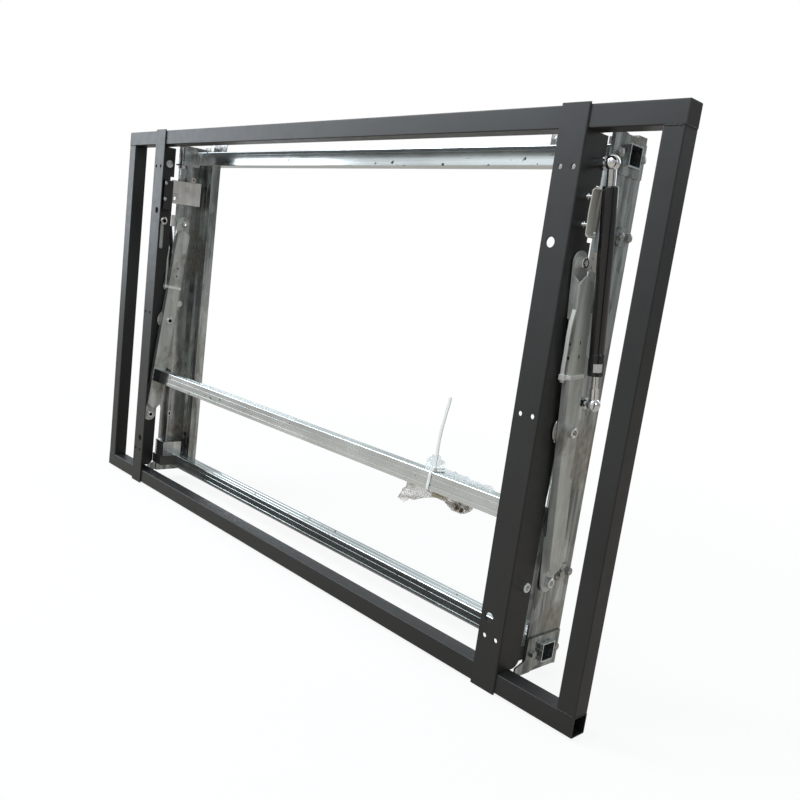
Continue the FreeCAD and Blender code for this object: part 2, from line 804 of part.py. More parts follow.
def along_inner_arm(shape):
    """Shape made level at the middle bar's place, turned in line with the inner arms."""
    return turned(shape, -closed_lean, middle_bar_depth, middle_bar)


# Middle bar between the inner arms
def build_middle_bar(parts):
    parts["middle_bar"] = along_inner_arm(grooved_bar(inner_face, middle_bar_depth, middle_bar))


def spring_rod(start, end, radius):
    """Upright cylinder between two distances below the upper ball."""
    return rod_z(ball_upper - end, ball_upper - start, spring_x, ball_depth_upper, radius)


def spring_ball(distance, radius):
    return Part.makeSphere(radius, vec(spring_x, at_depth(ball_depth_upper), ball_upper - distance))


def along_spring(shape):
    """Shape made straight below the upper ball, turned into line with the spring."""
    return turned(shape, spring_lean, ball_depth_upper, ball_upper)


# Gas springs
def build_springs(parts):
    sides = {}
    tube = spring_rod(tube_start, tube_end, tube_radius)
    tube = tube.cut(spring_rod(tube_start + tube_end_wall, tube_end, tube_bore))
    sides["spring_cylinder"] = along_spring(tube)

    gland_end = tube_end + gland_length
    gland = spring_rod(tube_end, gland_end, gland_radius)
    gland = gland.fuse(spring_rod(tube_end - gland_spigot, tube_end, tube_bore - fit_clearance))
    bore = spring_rod(tube_end - gland_spigot, gland_end, rod_radius + fit_clearance)
    sides["spring_gland"] = along_spring(gland.cut(bore))

    outside = (socket_face, spring_x + 2 * socket_radius)
    around = (ball_depth_upper - 2 * socket_radius, ball_depth_upper + 2 * socket_radius)
    keep = block(outside, around, (ball_upper - tube_start, ball_upper + 2 * socket_radius))
    socket = spring_ball(0, socket_radius).fuse(spring_rod(0, tube_start, socket_neck)).common(keep)
    mouth = rod_x(socket_face, spring_x, ball_depth_upper, ball_upper, socket_hole)
    socket = socket.cut([spring_ball(0, ball_radius + ball_clearance), mouth])
    neck = rod_x(socket_face, spring_x, ball_depth_upper, ball_upper, stud_neck)
    ball = spring_ball(0, ball_radius).fuse(neck)
    sides["spring_upper_joint"] = Part.makeCompound([along_spring(socket), ball])

    rod_start = tube_start + piston_start
    rod_end = spring_length - rod_socket_length
    rod = spring_rod(rod_start, rod_end, rod_radius)
    rod = rod.fuse(spring_rod(rod_start, rod_start + piston_length, tube_bore - fit_clearance))
    sides["spring_rod"] = along_spring(rod)

    socket = spring_ball(spring_length, socket_radius)
    socket = socket.fuse(spring_rod(rod_end, spring_length, socket_neck))
    socket = socket.cut(spring_ball(spring_length, ball_radius + ball_clearance))
    mouth = rod_x(spring_x - 2 * socket_radius, spring_x, ball_depth_lower, ball_lower, socket_hole)
    sides["spring_lower_socket"] = along_spring(socket).cut(mouth)
    for name, shape in sides.items():
        parts[name + "_right"] = shape
        parts[name + "_left"] = mirrored(shape)


def stud_collar(place):
    """Round spacer and hexagon of a ball stud, outside the sheet that it is fixed to."""
    seat = side + stud_spacer_length
    return rod_x(side, seat, *place, stud_spacer_radius).fuse(
        hex_x(seat, seat + stud_hex_length, *place, stud_hex))


# Ball studs on the front angles and on the rails
def build_ball_studs(parts):
    place = (ball_depth_upper, ball_upper)
    head = rod_x(flange_inner - upper_head_length, flange_inner, *place, upper_head_radius)
    neck = rod_x(flange_inner, socket_face - slide_clearance, *place, stud_neck)
    parts["upper_ball_studs"] = on_both_sides([neck.fuse([head, stud_collar(place)])])

    place = (ball_depth_lower, ball_lower)
    head = rod_x(rail_inner - lower_head_length, rail_inner, *place, lower_head_radius)
    neck = rod_x(rail_inner, spring_x, *place, stud_neck)
    ball = Part.makeSphere(ball_radius, vec(spring_x, at_depth(ball_depth_lower), ball_lower))
    parts["lower_ball_studs"] = on_both_sides([neck.fuse([head, stud_collar(place), ball])])


def lock_screw_rises():
    return (lock_screw_high, -lock_screw_low)


def lock_screw_depth():
    return lock_front + lock_front_wall / 2


# Lock bodies with their pawls, pins and springs
def build_locks(parts):
    xs = (flange_inner - lock_width, flange_inner)
    half = lock_height / 2
    body = block(xs, (lock_front, lock_front + lock_depth), (lock_mid - half, lock_mid + half))
    body = fillet_where(body, lock_corner, lambda p: near(p.x, xs[0]))
    pocket_xs = (pawl_low_x - slide_clearance, pawl_high_x + spring_ring_width + 2 * slide_clearance)
    pocket_half = half - lock_end_wall
    pocket = block(pocket_xs, (lock_front + lock_front_wall, lock_front + lock_depth),
                   (lock_mid - pocket_half, lock_mid + pocket_half))
    pin_xs = (pocket_xs[0] - pawl_pin, xs[1] - slide_clearance)
    cuts = [pocket, rod_x(*pin_xs, pawl_depth, lock_mid, pawl_pin + fit_clearance)]
    for rise in lock_screw_rises():
        cuts.append(rod_x(*xs, lock_screw_depth(), lock_mid + rise, lock_screw_radius + fit_clearance))
    body = body.cut(cuts)
    parts["lock_body_right"] = body
    parts["lock_body_left"] = mirrored(body)

    tip = pawl_depth + pawl_reach
    blade_xs = (pawl_low_x, pawl_high_x)
    arm = block(blade_xs, (pawl_depth, tip), (lock_mid - pawl_arm_radius, lock_mid + pawl_arm_radius))
    pawl = arm.fuse([rod_x(*blade_xs, pawl_depth, lock_mid, pawl_hub),
                     rod_x(*blade_xs, tip, lock_mid, pawl_arm_radius),
                     rod_x(pawl_high_x, pawl_high_x + peg_length, tip, lock_mid, peg_radius)])
    pawl = pawl.removeSplitter().cut(rod_x(*blade_xs, pawl_depth, lock_mid, pawl_pin + fit_clearance))
    pawl = turned(pawl, pawl_lift, pawl_depth, lock_mid)
    parts["lock_pawl_right"] = pawl
    parts["lock_pawl_left"] = mirrored(pawl)

    pin = rod_x(*pin_xs, pawl_depth, lock_mid, pawl_pin)
    ring_low = pawl_high_x + slide_clearance
    ring = ring_x(ring_low, ring_low + spring_ring_width, pawl_depth, lock_mid, spring_ring,
                  pawl_pin + fit_clearance)
    parts["lock_pins"] = on_both_sides([pin, ring])


def cover_half():
    return (cover_height - cover_sheet) / 2


def cover_line():
    """Middle line of the lock cover in (x, z), which dips towards its middle."""
    half = cover_half()
    face = side + cover_standoff
    line = [(side, half), (face, half), (face - cover_dip, 0), (face, -half), (side, -half)]
    return [(x, lock_mid + cover_shift + z) for x, z in line]


def cover_face(rise):
    """X of the lock cover's outer face at a height above the pawl's pin."""
    share = abs(rise - cover_shift) / cover_half()
    return side + cover_standoff - cover_dip * (1 - share) + cover_sheet / 2


# Lock covers outside the front angles and the screws through them
def build_lock_covers(parts):
    outline = [(x, at_depth(cover_front), z) for x, z in strip(cover_line(), cover_sheet)]
    cover = prism(outline, (0, cover_width, 0))
    depth = lock_screw_depth()
    inner = flange_inner - lock_width
    cuts = []
    screws = []
    for rise in lock_screw_rises():
        z = lock_mid + rise
        seat = cover_face(rise) + slide_clearance
        cuts.append(rod_x(side, seat, depth, z, lock_screw_radius + fit_clearance))
        shank = rod_x(inner, seat, depth, z, lock_screw_radius)
        cap = rod_x(inner - lock_screw_cap, inner, depth, z, lock_screw_head)
        nut = hex_x(side, side + lock_screw_nut, depth, z, 2 * lock_screw_head)
        tip = rod_x(seat, seat + lock_screw_cap, depth, z, lock_screw_head)
        screws.append(shank.fuse([cap, nut, tip]))
    parts["lock_covers"] = on_both_sides([cover.cut(cuts)])
    parts["lock_screws"] = on_both_sides(screws)


# Lock strikes on the rails, which the pawl's peg catches, and the catch plates
def build_strikes(parts):
    sheet = strike_sheet
    leg_x = rail_inner - sheet / 2
    front = rail_front - strike_reach
    back = rail_front + strike_run
    line = [(leg_x, front), (leg_x, rail_front + strike_seat), (leg_x - strike_span, back), (leg_x, back)]
    low = strike_mid - strike_height / 2
    outline = [(x, at_depth(d), low) for x, d in strip(line, sheet)]
    strike = prism(outline, (0, 0, strike_height))
    room = peg_radius + slide_clearance
    angles = [math.radians(a) for a in (pawl_lift, pawl_lift - pawl_swing)]
    rest_z, caught_z = [lock_mid + pawl_reach * math.sin(a) for a in angles]
    throat = pawl_depth + pawl_reach * min(math.cos(a) for a in angles) - room
    behind = pawl_depth + pawl_reach + room
    xs = (rail_inner - 2 * sheet, rail_inner)
    mouth = block(xs, (front, behind), (rest_z - room, rest_z + room))
    pocket = block(xs, (throat, behind), (caught_z - room, rest_z + room))
    bush_low = leg_x - strike_span + sheet
    bush = ring_x(bush_low, bush_low + strike_bush_length, (rail_front + strike_seat + back) / 2,
                  low + strike_height + strike_bush_radius, strike_bush_radius, strike_bush_bore)

    plate_low = pivot_top - catch_drop
    catch_front = rail_front - catch_reach
    plate = block((side, side + catch_sheet), (catch_front, catch_front + catch_width),
                  (plate_low, plate_low + catch_height))
    for offset in (-rivet_pitch / 2, rivet_pitch / 2):
        rivet = rod_x(side + catch_sheet, side + catch_sheet + rivet_head, catch_front + catch_width / 2,
                      plate_low + catch_height / 2 + offset, rivet_radius)
        plate = plate.fuse(rivet)
    parts["lock_strikes"] = on_both_sides([strike.cut([mouth, pocket]), bush, plate])


def arm_tie(edge_x, face_x):
    """Cable tie on an upright arm, with its head in front and its tail standing up."""
    half = arm_width / 2 + turn_clearance / 2
    xs = (min(edge_x, face_x) - turn_clearance / 2, max(edge_x, face_x) + turn_clearance / 2)
    z = arm_length / 2 + tie_rise
    zs = (z - tie_width / 2, z + tie_width / 2)
    front = -half - tie_sheet
    loop = block((xs[0] - tie_sheet, xs[1] + tie_sheet), (front, half + tie_sheet), zs)
    loop = loop.cut(block(xs, (-half, half), zs))
    head_xs = (edge_x - tie_head_lap, edge_x + tie_head - tie_head_lap)
    if face_x < edge_x:
        head_xs = (edge_x + tie_head_lap - tie_head, edge_x + tie_head_lap)
    head = block(head_xs, (front - tie_head_depth, front), (z - tie_head / 2, z + tie_head / 2))
    middle = (head_xs[0] + head_xs[1]) / 2
    line = [(front - tie_sheet, z), (front - 2 * tie_sheet, z + tie_tail_arm / 2),
            (front - 3 * tie_sheet, z + tie_tail_arm)]
    tail = side_plate(strip(line, tie_sheet), middle - tie_width / 2, middle + tie_width / 2)
    return loop.fuse([head, tail])


# Cable ties and the bag of fixings
def build_packing(parts):
    parts["outer_arm_tie"] = on_outer_arm(arm_tie(outer_edge, outer_face))
    left_tie = mirrored(on_inner_arm(arm_tie(inner_edge, inner_face)))

    half = bar_size / 2 + turn_clearance / 2
    outer = half + tie_sheet
    depth = middle_bar_depth
    z = middle_bar
    xs = (bar_tie_place - tie_width / 2, bar_tie_place + tie_width / 2)
    loop = block(xs, (depth - outer, depth + outer), (z - outer, z + outer))
    loop = loop.cut(block(xs, (depth - half, depth + half), (z - half, z + half)))
    start = z + outer + tie_head_depth
    head = block((bar_tie_place - tie_head / 2, bar_tie_place + tie_head / 2),
                 (depth - tie_head / 2, depth + tie_head / 2), (z + outer, start))
    line = [(depth, start), (depth - 2 * tie_sheet, start + tie_tail_bar / 2),
            (depth - tie_sheet, start + tie_tail_bar)]
    tail = side_plate(strip(line, tie_sheet), *xs)
    bar_tie = along_inner_arm(loop.fuse([head, tail]))
    parts["inner_arm_ties"] = Part.makeCompound([left_tie, bar_tie])

    front = depth + outer + turn_clearance
    zs = (z + bag_rise - bag_height, z + bag_rise)
    bag = block((bag_place - bag_length / 2, bag_place + bag_length / 2), (front, front + bag_depth), zs)
    bag = bag.makeFillet(bag_corner, bag.Edges)
    parts["fixings_bag"] = along_inner_arm(bag)


def main():
    parts = {}
    build_front_frame(parts)
    build_front_angles(parts)
    build_rear_rails(parts)
    build_wall_studs(parts)
    build_cross_bars(parts)
    build_plates(parts)
    build_hangers(parts)
    build_feet(parts)
    build_arms(parts)
    build_centre_pivots(parts)
    build_slide_pins(parts)
    build_pivot_bolts(parts)
    build_middle_bar(parts)
    build_springs(parts)
    build_ball_studs(parts)
    build_locks(parts)
    build_lock_covers(parts)
    build_strikes(parts)
    build_packing(parts)
    os.makedirs("parts", exist_ok=True)
    for name, shape in parts.items():
        shape.exportStep(f"parts/{name}.step")
    stroke = math.hypot(spring_rise, spring_run + open_travel) - spring_length
    swing = math.degrees(math.atan2(spring_run + open_travel, spring_rise)) - spring_lean
    print(f"{len(parts)} nodes, the scissor opens {open_angle - closed_lean:.4f} degrees")
    print(f"and the frame comes {open_travel:.3f} mm to the front")
    print(f"The springs turn {swing:.4f} degrees and lengthen {stroke:.4f} mm")


main()
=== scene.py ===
"""Looks of the screen mount: finishes for its CAD nodes and the finer pieces that replace some of them.

Sizes in the classes are millimetres. X runs to the viewer's right, a depth is counted from the front
frame's front face towards the wall, and heights are counted from the middle of the mount.
"""

import logging
import math
from dataclasses import dataclass, field
from enum import Enum

import bmesh
import bpy
import numpy as np
from mathutils import Matrix

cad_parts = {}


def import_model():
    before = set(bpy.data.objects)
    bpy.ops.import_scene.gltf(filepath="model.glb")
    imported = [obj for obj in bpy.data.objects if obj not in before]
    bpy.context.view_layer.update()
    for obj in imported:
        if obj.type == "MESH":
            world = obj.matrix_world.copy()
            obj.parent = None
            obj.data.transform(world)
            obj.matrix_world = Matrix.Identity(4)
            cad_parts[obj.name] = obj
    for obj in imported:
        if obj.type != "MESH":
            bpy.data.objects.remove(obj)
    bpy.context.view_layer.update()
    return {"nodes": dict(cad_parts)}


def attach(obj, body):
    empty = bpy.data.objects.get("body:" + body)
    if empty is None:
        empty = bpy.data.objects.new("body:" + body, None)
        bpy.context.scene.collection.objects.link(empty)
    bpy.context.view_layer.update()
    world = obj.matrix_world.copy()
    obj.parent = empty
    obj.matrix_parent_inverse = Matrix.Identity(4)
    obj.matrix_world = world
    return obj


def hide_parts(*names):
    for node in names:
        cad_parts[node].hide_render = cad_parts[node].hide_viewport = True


LOG = logging.getLogger("screen_mount")
MM = 0.001
WALL_DEPTH = 118.0
ARM_LEAN = 6.2098
HEX_CHAMFER = 0.55
Triple = tuple[float, float, float]
Colour = tuple[float, float, float]
Input = float | tuple[float, ...] | bpy.types.NodeSocket
Rings = np.ndarray | list[float | np.ndarray]
BLACK: Colour = (0.0, 0.0, 0.0)
WHITE: Colour = (1.0, 1.0, 1.0)


class Side(Enum):
    """The two sides of the mount."""

    LEFT = "left"
    RIGHT = "right"

    def named(self, stem: str) -> str:
        """The name of a piece on this side."""
        return f"{stem}_{self.value}"


class Slot(Enum):
    """Material slots of the record."""

    COAT = "black_powder_coat"
    GALVANISED = "galvanised_steel"
    BAR = "ribbed_bar"
    ZINC = "zinc_bolt"
    STEEL = "machined_steel"
    CHROME = "chromed_joint"
    CYLINDER = "cylinder_black"
    PLASTIC = "black_plastic"
    COVER = "pale_cover"
    NYLON = "white_nylon"
    FILM = "clear_bag"


def pair(stem: str) -> tuple[str, ...]:
    """The names of a node on both sides."""
    return tuple(side.named(stem) for side in Side)


def toned(colour: Colour, factor: float) -> Colour:
    """A colour made darker or brighter, up to white."""
    return tuple(min(1.0, factor * c) for c in colour)


class Nodes:
    """The nodes of a material or of the world, cleared at the start."""

    def __init__(self, owner: bpy.types.ID) -> None:
        """Takes over the node tree of its owner."""
        owner.use_nodes = True
        self.tree = owner.node_tree
        self.tree.nodes.clear()

    def feed(self, node: bpy.types.Node, inputs: dict[str | int, Input]) -> None:
        """Sets or links inputs of a node.

        Args:
            node: The node.
            inputs: Constant or source socket by the input's name or number.
        """
        for name, value in inputs.items():
            if isinstance(value, bpy.types.NodeSocket):
                self.tree.links.new(value, node.inputs[name])
            else:
                node.inputs[name].default_value = value

    def add(self, kind: str, inputs: dict[str | int, Input], operation: str = "") -> bpy.types.Node:
        """Adds a node.

        Args:
            kind: Type of the node, as it follows ShaderNode.
            inputs: Constant or source socket by the input's name or number.
            operation: What a maths node does.

        Returns:
            The node.
        """
        node = self.tree.nodes.new("ShaderNode" + kind)
        if operation:
            node.operation = operation
        self.feed(node, inputs)
        return node

    def mapped(self, source: Input, start: float, end: float, low: float, high: float) -> Input:
        """The value that runs from low to high as the source runs from start to end."""
        return self.add("MapRange", {"Value": source, "From Min": start, "From Max": end, "To Min": low,
                                     "To Max": high}).outputs["Result"]

    def stops(self, source: Input, stops: list[tuple[float, Colour]]) -> Input:
        """Colour that runs through stops.

        Args:
            source: Value or colour socket.
            stops: Source value and colour of each stop, in order.

        Returns:
            The colour socket.
        """
        node = self.add("ValToRGB", {"Fac": source})
        elements = node.color_ramp.elements
        for element, (position, colour) in zip(tuple(elements), (stops[0], stops[-1])):
            element.position = position
            element.color = (*colour, 1.0)
        for position, colour in stops[1:-1]:
            elements.new(position).color = (*colour, 1.0)
        return node.outputs["Color"]


class Graph(Nodes):
    """The nodes of one material round a Principled shader."""

    def __init__(self, name: str) -> None:
        """Makes an empty material of that name."""
        self.material = bpy.data.materials.new(name)
        super().__init__(self.material)
        self.shader = self.add("BsdfPrincipled", {})
        self.add("OutputMaterial", {"Surface": self.shader.outputs["BSDF"]})
        self.coords = self.add("TexCoord", {}).outputs["Object"]

    def shade(self, **inputs: Input) -> None:
        """Sets or links inputs of the shader; underscores in a name stand for spaces."""
        self.feed(self.shader, {name.replace("_", " "): value for name, value in inputs.items()})

    def pattern(self, kind: str, scale: float, stretch: Triple) -> bpy.types.Node:
        """Adds a texture over the piece's own coordinates.

        Args:
            kind: Type of the node, as it follows ShaderNode.
            scale: Features per metre.
            stretch: Scale along x, y and z before that.

        Returns:
            The node.
        """
        mapping = self.add("Mapping", {"Scale": stretch, "Vector": self.coords})
        return self.add(kind, {"Scale": scale, "Vector": mapping.outputs["Vector"]})

    def noise(self, scale: float, stretch: Triple = (1, 1, 1), detail: float = 3.0) -> Input:
        """Noise between 0 and 1 over the piece, with that many octaves."""
        node = self.pattern("TexNoise", scale, stretch)
        node.inputs["Detail"].default_value = detail
        return node.outputs["Fac"]

    def ramp(self, source: Input, low: Colour, high: Colour, start: float = 0.3, end: float = 0.7) -> Input:
        """The colour that runs from low to high as the source runs from start to end."""
        return self.stops(source, [(start, low), (end, high)])

    def level(self, source: Input, low: float, high: float) -> Input:
        """The value that runs from low to high as the source runs from 0.2 to 0.8."""
        return self.mapped(source, 0.2, 0.8, low, high)

    def blended(self, first: Input, second: Input, share: Input) -> Input:
        """Mix of two colours.

        Args:
            first: Colour where the share is 0.
            second: Colour where the share is 1.
            share: Value socket.

        Returns:
            The colour socket.
        """
        node = self.add("Mix", {})
        node.data_type = "RGBA"
        self.feed(node, {"Factor": share, 6: first, 7: second})
        return node.outputs[2]

    def bump(self, height: Input, strength: float, distance: float) -> None:
        """Roughens the surface by a height of that many metres, of which the strength shows."""
        node = self.add("Bump", {"Strength": strength, "Distance": distance, "Height": height})
        self.shade(Normal=node.outputs["Normal"])


@dataclass(frozen=True)
class Finish:
    """A finish with a name of its own; the kinds below say how it is made."""

    name: str
    slot: Slot

    def build(self) -> bpy.types.Material:
        """The finish's material, made once."""
        found = bpy.data.materials.get(self.name)
        if found is not None:
            return found
        graph = Graph(self.name)
        self.dress(graph)
        return graph.material

    def dress(self, graph: Graph) -> None:
        """Fills in the nodes of the empty material."""
        raise NotImplementedError


@dataclass(frozen=True)
class PowderCoat(Finish):
    """Fine matte coating with a faint orange peel and slow changes of tone."""

    colour: Colour = (0.0166, 0.0171, 0.0170)
    roughness: float = 0.40

    def dress(self, graph: Graph) -> None:
        """Fills in the coating's nodes."""
        tone = graph.ramp(graph.noise(9.0), toned(self.colour, 0.80), toned(self.colour, 1.20))
        polish = graph.level(graph.noise(60.0), self.roughness - 0.05, self.roughness + 0.06)
        graph.shade(Base_Color=tone, Roughness=polish)
        graph.bump(graph.noise(1900.0, detail=2.0), 0.22, 0.00006)


@dataclass(frozen=True)
class Galvanised(Finish):
    """Zinc-coated sheet: crystal cells, wavy lengthwise streaks, and dull and brownish patches."""

    dark: Colour = (0.13, 0.14, 0.14)
    bright: Colour = (0.66, 0.69, 0.68)
    soil: Colour = (0.22, 0.19, 0.15)
    cell: float = 95.0
    roughness: float = 0.22
    metallic: float = 0.95

    def dress(self, graph: Graph) -> None:
        """Fills in the sheet's nodes."""
        cells = graph.pattern("TexVoronoi", self.cell, (1.0, 1.0, 0.45)).outputs["Color"]
        spangle = graph.ramp(cells, self.dark, self.bright, 0.0, 0.9)
        runs = graph.noise(85.0, (1.0, 1.0, 0.05), 5.0)
        streaks = graph.ramp(runs, self.dark, self.bright, 0.40, 0.62)
        share = graph.level(graph.noise(23.0, (1.0, 1.0, 0.3)), 0.35, 0.85)
        sheet = graph.blended(spangle, streaks, share)
        worn = graph.ramp(graph.noise(190.0, (1.0, 1.0, 0.5), 5.0), self.soil, toned(self.bright, 0.62))
        patches = graph.ramp(graph.noise(11.0, detail=6.0), BLACK, WHITE, 0.50, 0.64)
        graph.shade(Base_Color=graph.blended(sheet, worn, graph.level(patches, -0.25, 0.85)),
                    Roughness=graph.level(runs, self.roughness + 0.16, self.roughness - 0.06),
                    Metallic=self.metallic)
        graph.bump(graph.noise(120.0, (1.0, 1.0, 0.06)), 0.30, 0.0011)


@dataclass(frozen=True)
class DrawnMetal(Finish):
    """Pale bright metal drawn along X, with fine lengthwise lines and small dark marks."""

    dark: Colour = (0.64, 0.68, 0.68)
    bright: Colour = (0.88, 0.93, 0.93)
    mark: Colour = (0.12, 0.11, 0.10)
    roughness: float = 0.11

    def dress(self, graph: Graph) -> None:
        """Fills in the metal's nodes."""
        clouds = graph.noise(26.0, (0.4, 1.0, 1.0), 5.0)
        pale = graph.ramp(graph.noise(520.0, (0.004, 1.0, 1.0)), self.dark, self.bright, 0.20, 0.60)
        grey = graph.ramp(clouds, self.dark, self.bright, 0.25, 0.62)
        drawn = graph.blended(pale, grey, graph.level(clouds, 0.3, 0.7))
        marks = graph.ramp(graph.noise(150.0, (0.6, 1.0, 1.0), 2.0), BLACK, WHITE, 0.70, 0.74)
        graph.shade(Base_Color=graph.blended(drawn, (*self.mark, 1.0), marks),
                    Roughness=graph.level(clouds, self.roughness - 0.04, self.roughness + 0.08),
                    Metallic=0.96)


@dataclass(frozen=True)
class PlainMetal(Finish):
    """Turned or plated metal with small changes of tone and polish."""

    colour: Colour
    roughness: float
    grain: float = 380.0

    def dress(self, graph: Graph) -> None:
        """Fills in the metal's nodes."""
        grain = graph.noise(self.grain, detail=4.0)
        graph.shade(Base_Color=graph.ramp(grain, toned(self.colour, 0.84), toned(self.colour, 1.08)),
                    Roughness=graph.level(grain, 0.7 * self.roughness, 1.4 * self.roughness), Metallic=1.0)
        graph.bump(grain, 0.05, 0.0001)


@dataclass(frozen=True)
class GlossPaint(Finish):
    """Smooth dark paint with a clear gloss and faint wiped marks."""

    colour: Colour = (0.010, 0.010, 0.011)
    roughness: float = 0.17

    def dress(self, graph: Graph) -> None:
        """Fills in the paint's nodes."""
        wiped = graph.noise(45.0, (1.0, 1.0, 0.2), 4.0)
        graph.shade(Base_Color=graph.ramp(wiped, self.colour, toned(self.colour, 1.7)),
                    Roughness=graph.level(wiped, self.roughness - 0.05, self.roughness + 0.10),
                    Coat_Weight=0.4, Coat_Roughness=0.08)


@dataclass(frozen=True)
class Moulded(Finish):
    """Moulded plastic with a fine grain."""

    colour: Colour = (0.030, 0.030, 0.032)
    roughness: float = 0.50
    grain: float = 1400.0
    translucent: float = 0.0
    clear: float = 0.0

    def dress(self, graph: Graph) -> None:
        """Fills in the plastic's nodes."""
        tone = graph.ramp(graph.noise(55.0), toned(self.colour, 0.86), toned(self.colour, 1.10))
        polish = graph.level(graph.noise(160.0), self.roughness - 0.07, self.roughness + 0.07)
        graph.shade(Base_Color=tone, Roughness=polish, Subsurface_Weight=self.translucent,
                    Subsurface_Scale=0.003, Transmission_Weight=self.clear)
        graph.bump(graph.noise(self.grain, detail=2.0), 0.18, 0.00006)


@dataclass(frozen=True)
class ClearFilm(Finish):
    """Thin clear film: mostly see-through, with a soft gloss, a creased bump, and painted shade that darkens
    its colour in the crease hollows.
    """

    colour: Colour = (0.96, 0.94, 0.91)
    alpha: float = 0.60
    crease: float = 0.0012

    def dress(self, graph: Graph) -> None:
        """Fills in the film's nodes."""
        creases_and_crease_shade = graph.noise(70.0, detail=2.5)
        # Painted shade: the base colour falls to 0.86 of the film's colour where the crease noise is low,
        # which is in the hollows of the same bump.
        graph.shade(Base_Color=graph.ramp(creases_and_crease_shade, toned(self.colour, 0.86), self.colour),
                    Alpha=graph.level(creases_and_crease_shade, self.alpha - 0.14, self.alpha + 0.16),
                    Roughness=0.16, Specular_IOR_Level=0.8, Transmission_Weight=0.45)
        graph.bump(creases_and_crease_shade, 0.35, self.crease)


COAT = PowderCoat("powder_coat", Slot.COAT)
LOCK_COAT = PowderCoat("lock_coat", Slot.COAT, (0.018, 0.018, 0.018), 0.36)
SHEET = Galvanised("galvanised_sheet", Slot.GALVANISED)
ARM_SHEET = Galvanised("arm_sheet", Slot.GALVANISED, (0.44, 0.45, 0.43), (0.74, 0.76, 0.73), cell=120.0,
                       roughness=0.30, metallic=0.50)
BRACKET = Galvanised("bracket_sheet", Slot.GALVANISED, (0.42, 0.43, 0.43), (0.78, 0.80, 0.80), cell=130.0,
                     roughness=0.16)
STRIKE_SHEET = Galvanised("strike_sheet", Slot.GALVANISED, (0.64, 0.61, 0.58), (0.84, 0.81, 0.78),
                          (0.50, 0.47, 0.44), 150.0, 0.34, 0.45)
GROOVED = DrawnMetal("grooved_bar", Slot.BAR)
ZINC = PlainMetal("bright_zinc", Slot.ZINC, (0.80, 0.81, 0.82), 0.13)
DULL_ZINC = PlainMetal("dull_zinc", Slot.ZINC, (0.44, 0.44, 0.43), 0.28)
STEEL = PlainMetal("turned_steel", Slot.STEEL, (0.78, 0.78, 0.77), 0.12, 520.0)
DARK_STEEL = PlainMetal("dark_steel", Slot.STEEL, (0.34, 0.28, 0.235), 0.24, 700.0)
CHROME = PlainMetal("chrome", Slot.CHROME, (0.86, 0.86, 0.87), 0.06, 300.0)
CYLINDER = GlossPaint("gloss_black", Slot.CYLINDER)
PLASTIC = Moulded("black_plastic", Slot.PLASTIC)
PAD = Moulded("foot_pad", Slot.PLASTIC, (0.085, 0.083, 0.080), 0.34, 900.0)
CREAM = Moulded("cream_plastic", Slot.PLASTIC, (0.62, 0.56, 0.33), 0.40, 900.0)
COVER = Moulded("pale_cover", Slot.COVER, (0.78, 0.76, 0.71), 0.30, 700.0)
PAPER = Moulded("bare_label", Slot.COVER, (0.80, 0.79, 0.76), 0.62, 600.0)
NYLON = Moulded("white_nylon", Slot.NYLON, (0.95, 0.955, 0.94), 0.32, 900.0, 0.25, 0.45)
FILM = ClearFilm("clear_film", Slot.FILM)
LEAF = ClearFilm("clear_leaf", Slot.FILM, (0.88, 0.92, 0.93), 0.66, 0.0003)

NODE_FINISHES: dict[Finish, tuple[str, ...]] = {
    COAT: ("frame_top", "frame_bottom", *pair("frame"), *pair("front_angle")),
    LOCK_COAT: pair("lock_body"),
    SHEET: (*pair("rear_rail"), *pair("wall_stud"), *pair("end_plates"), "tie_straps"),
    BRACKET: ("hanger_brackets", "foot_brackets", "top_brackets"),
    ARM_SHEET: (*pair("outer_arm"), *pair("inner_arm")),
    STRIKE_SHEET: ("lock_strikes",),
    GROOVED: ("cross_bar_upper", "cross_bar_lower", "middle_bar"),
    ZINC: ("rear_pivot_bolts", "front_pivot_bolts", "lock_screws", "wall_frame_bolts", "level_screws",
           "upper_ball_studs", "lower_ball_studs", "lock_pins"),
    STEEL: (*pair("centre_pivot"), "inner_pivot_discs", *pair("outer_slide_pin"), "inner_slide_pins",
            *pair("lock_pawl"), *pair("spring_rod")),
    CHROME: (*pair("spring_upper_joint"), *pair("spring_lower_socket")),
    CYLINDER: (*pair("spring_cylinder"), *pair("spring_gland")),
    PLASTIC: ("frame_end_caps",),
    PAD: ("foot_pads",),
    COVER: ("lock_covers",),
    NYLON: ("outer_arm_tie", "inner_arm_ties"),
    FILM: ("fixings_bag",),
}


@dataclass
class Surface:
    """Points in millimetres as x, depth and height, and faces as tuples of point numbers."""

    points: np.ndarray
    faces: list[tuple[int, ...]]

    def along(self, sign: float, start: float) -> "Surface":
        """A copy that points along X or against it, from a start."""
        return Surface(self.points * np.array([sign, 1.0, 1.0]) + np.array([start, 0.0, 0.0]), self.faces)

    def moved(self, x: float, depth: float, height: float) -> "Surface":
        """A copy moved by the three distances."""
        return Surface(self.points + np.array([x, depth, height]), self.faces)

    def on(self, side: Side) -> "Surface":
        """This surface of the right side, on either side."""
        return self.along(-1.0, 0.0) if side is Side.LEFT else self

    def both(self) -> "Surface":
        """This surface and its mirror image across x = 0."""
        return join([self, self.on(Side.LEFT)])


def join(surfaces: list[Surface]) -> Surface:
    """Joins surfaces into one.

    Args:
        surfaces: At least one surface.

    Returns:
        The joined surface.
    """
    faces, shift = [], 0
    for surface in surfaces:
        faces += [tuple(i + shift for i in face) for face in surface.faces]
        shift += len(surface.points)
    return Surface(np.vstack([surface.points for surface in surfaces]), faces)


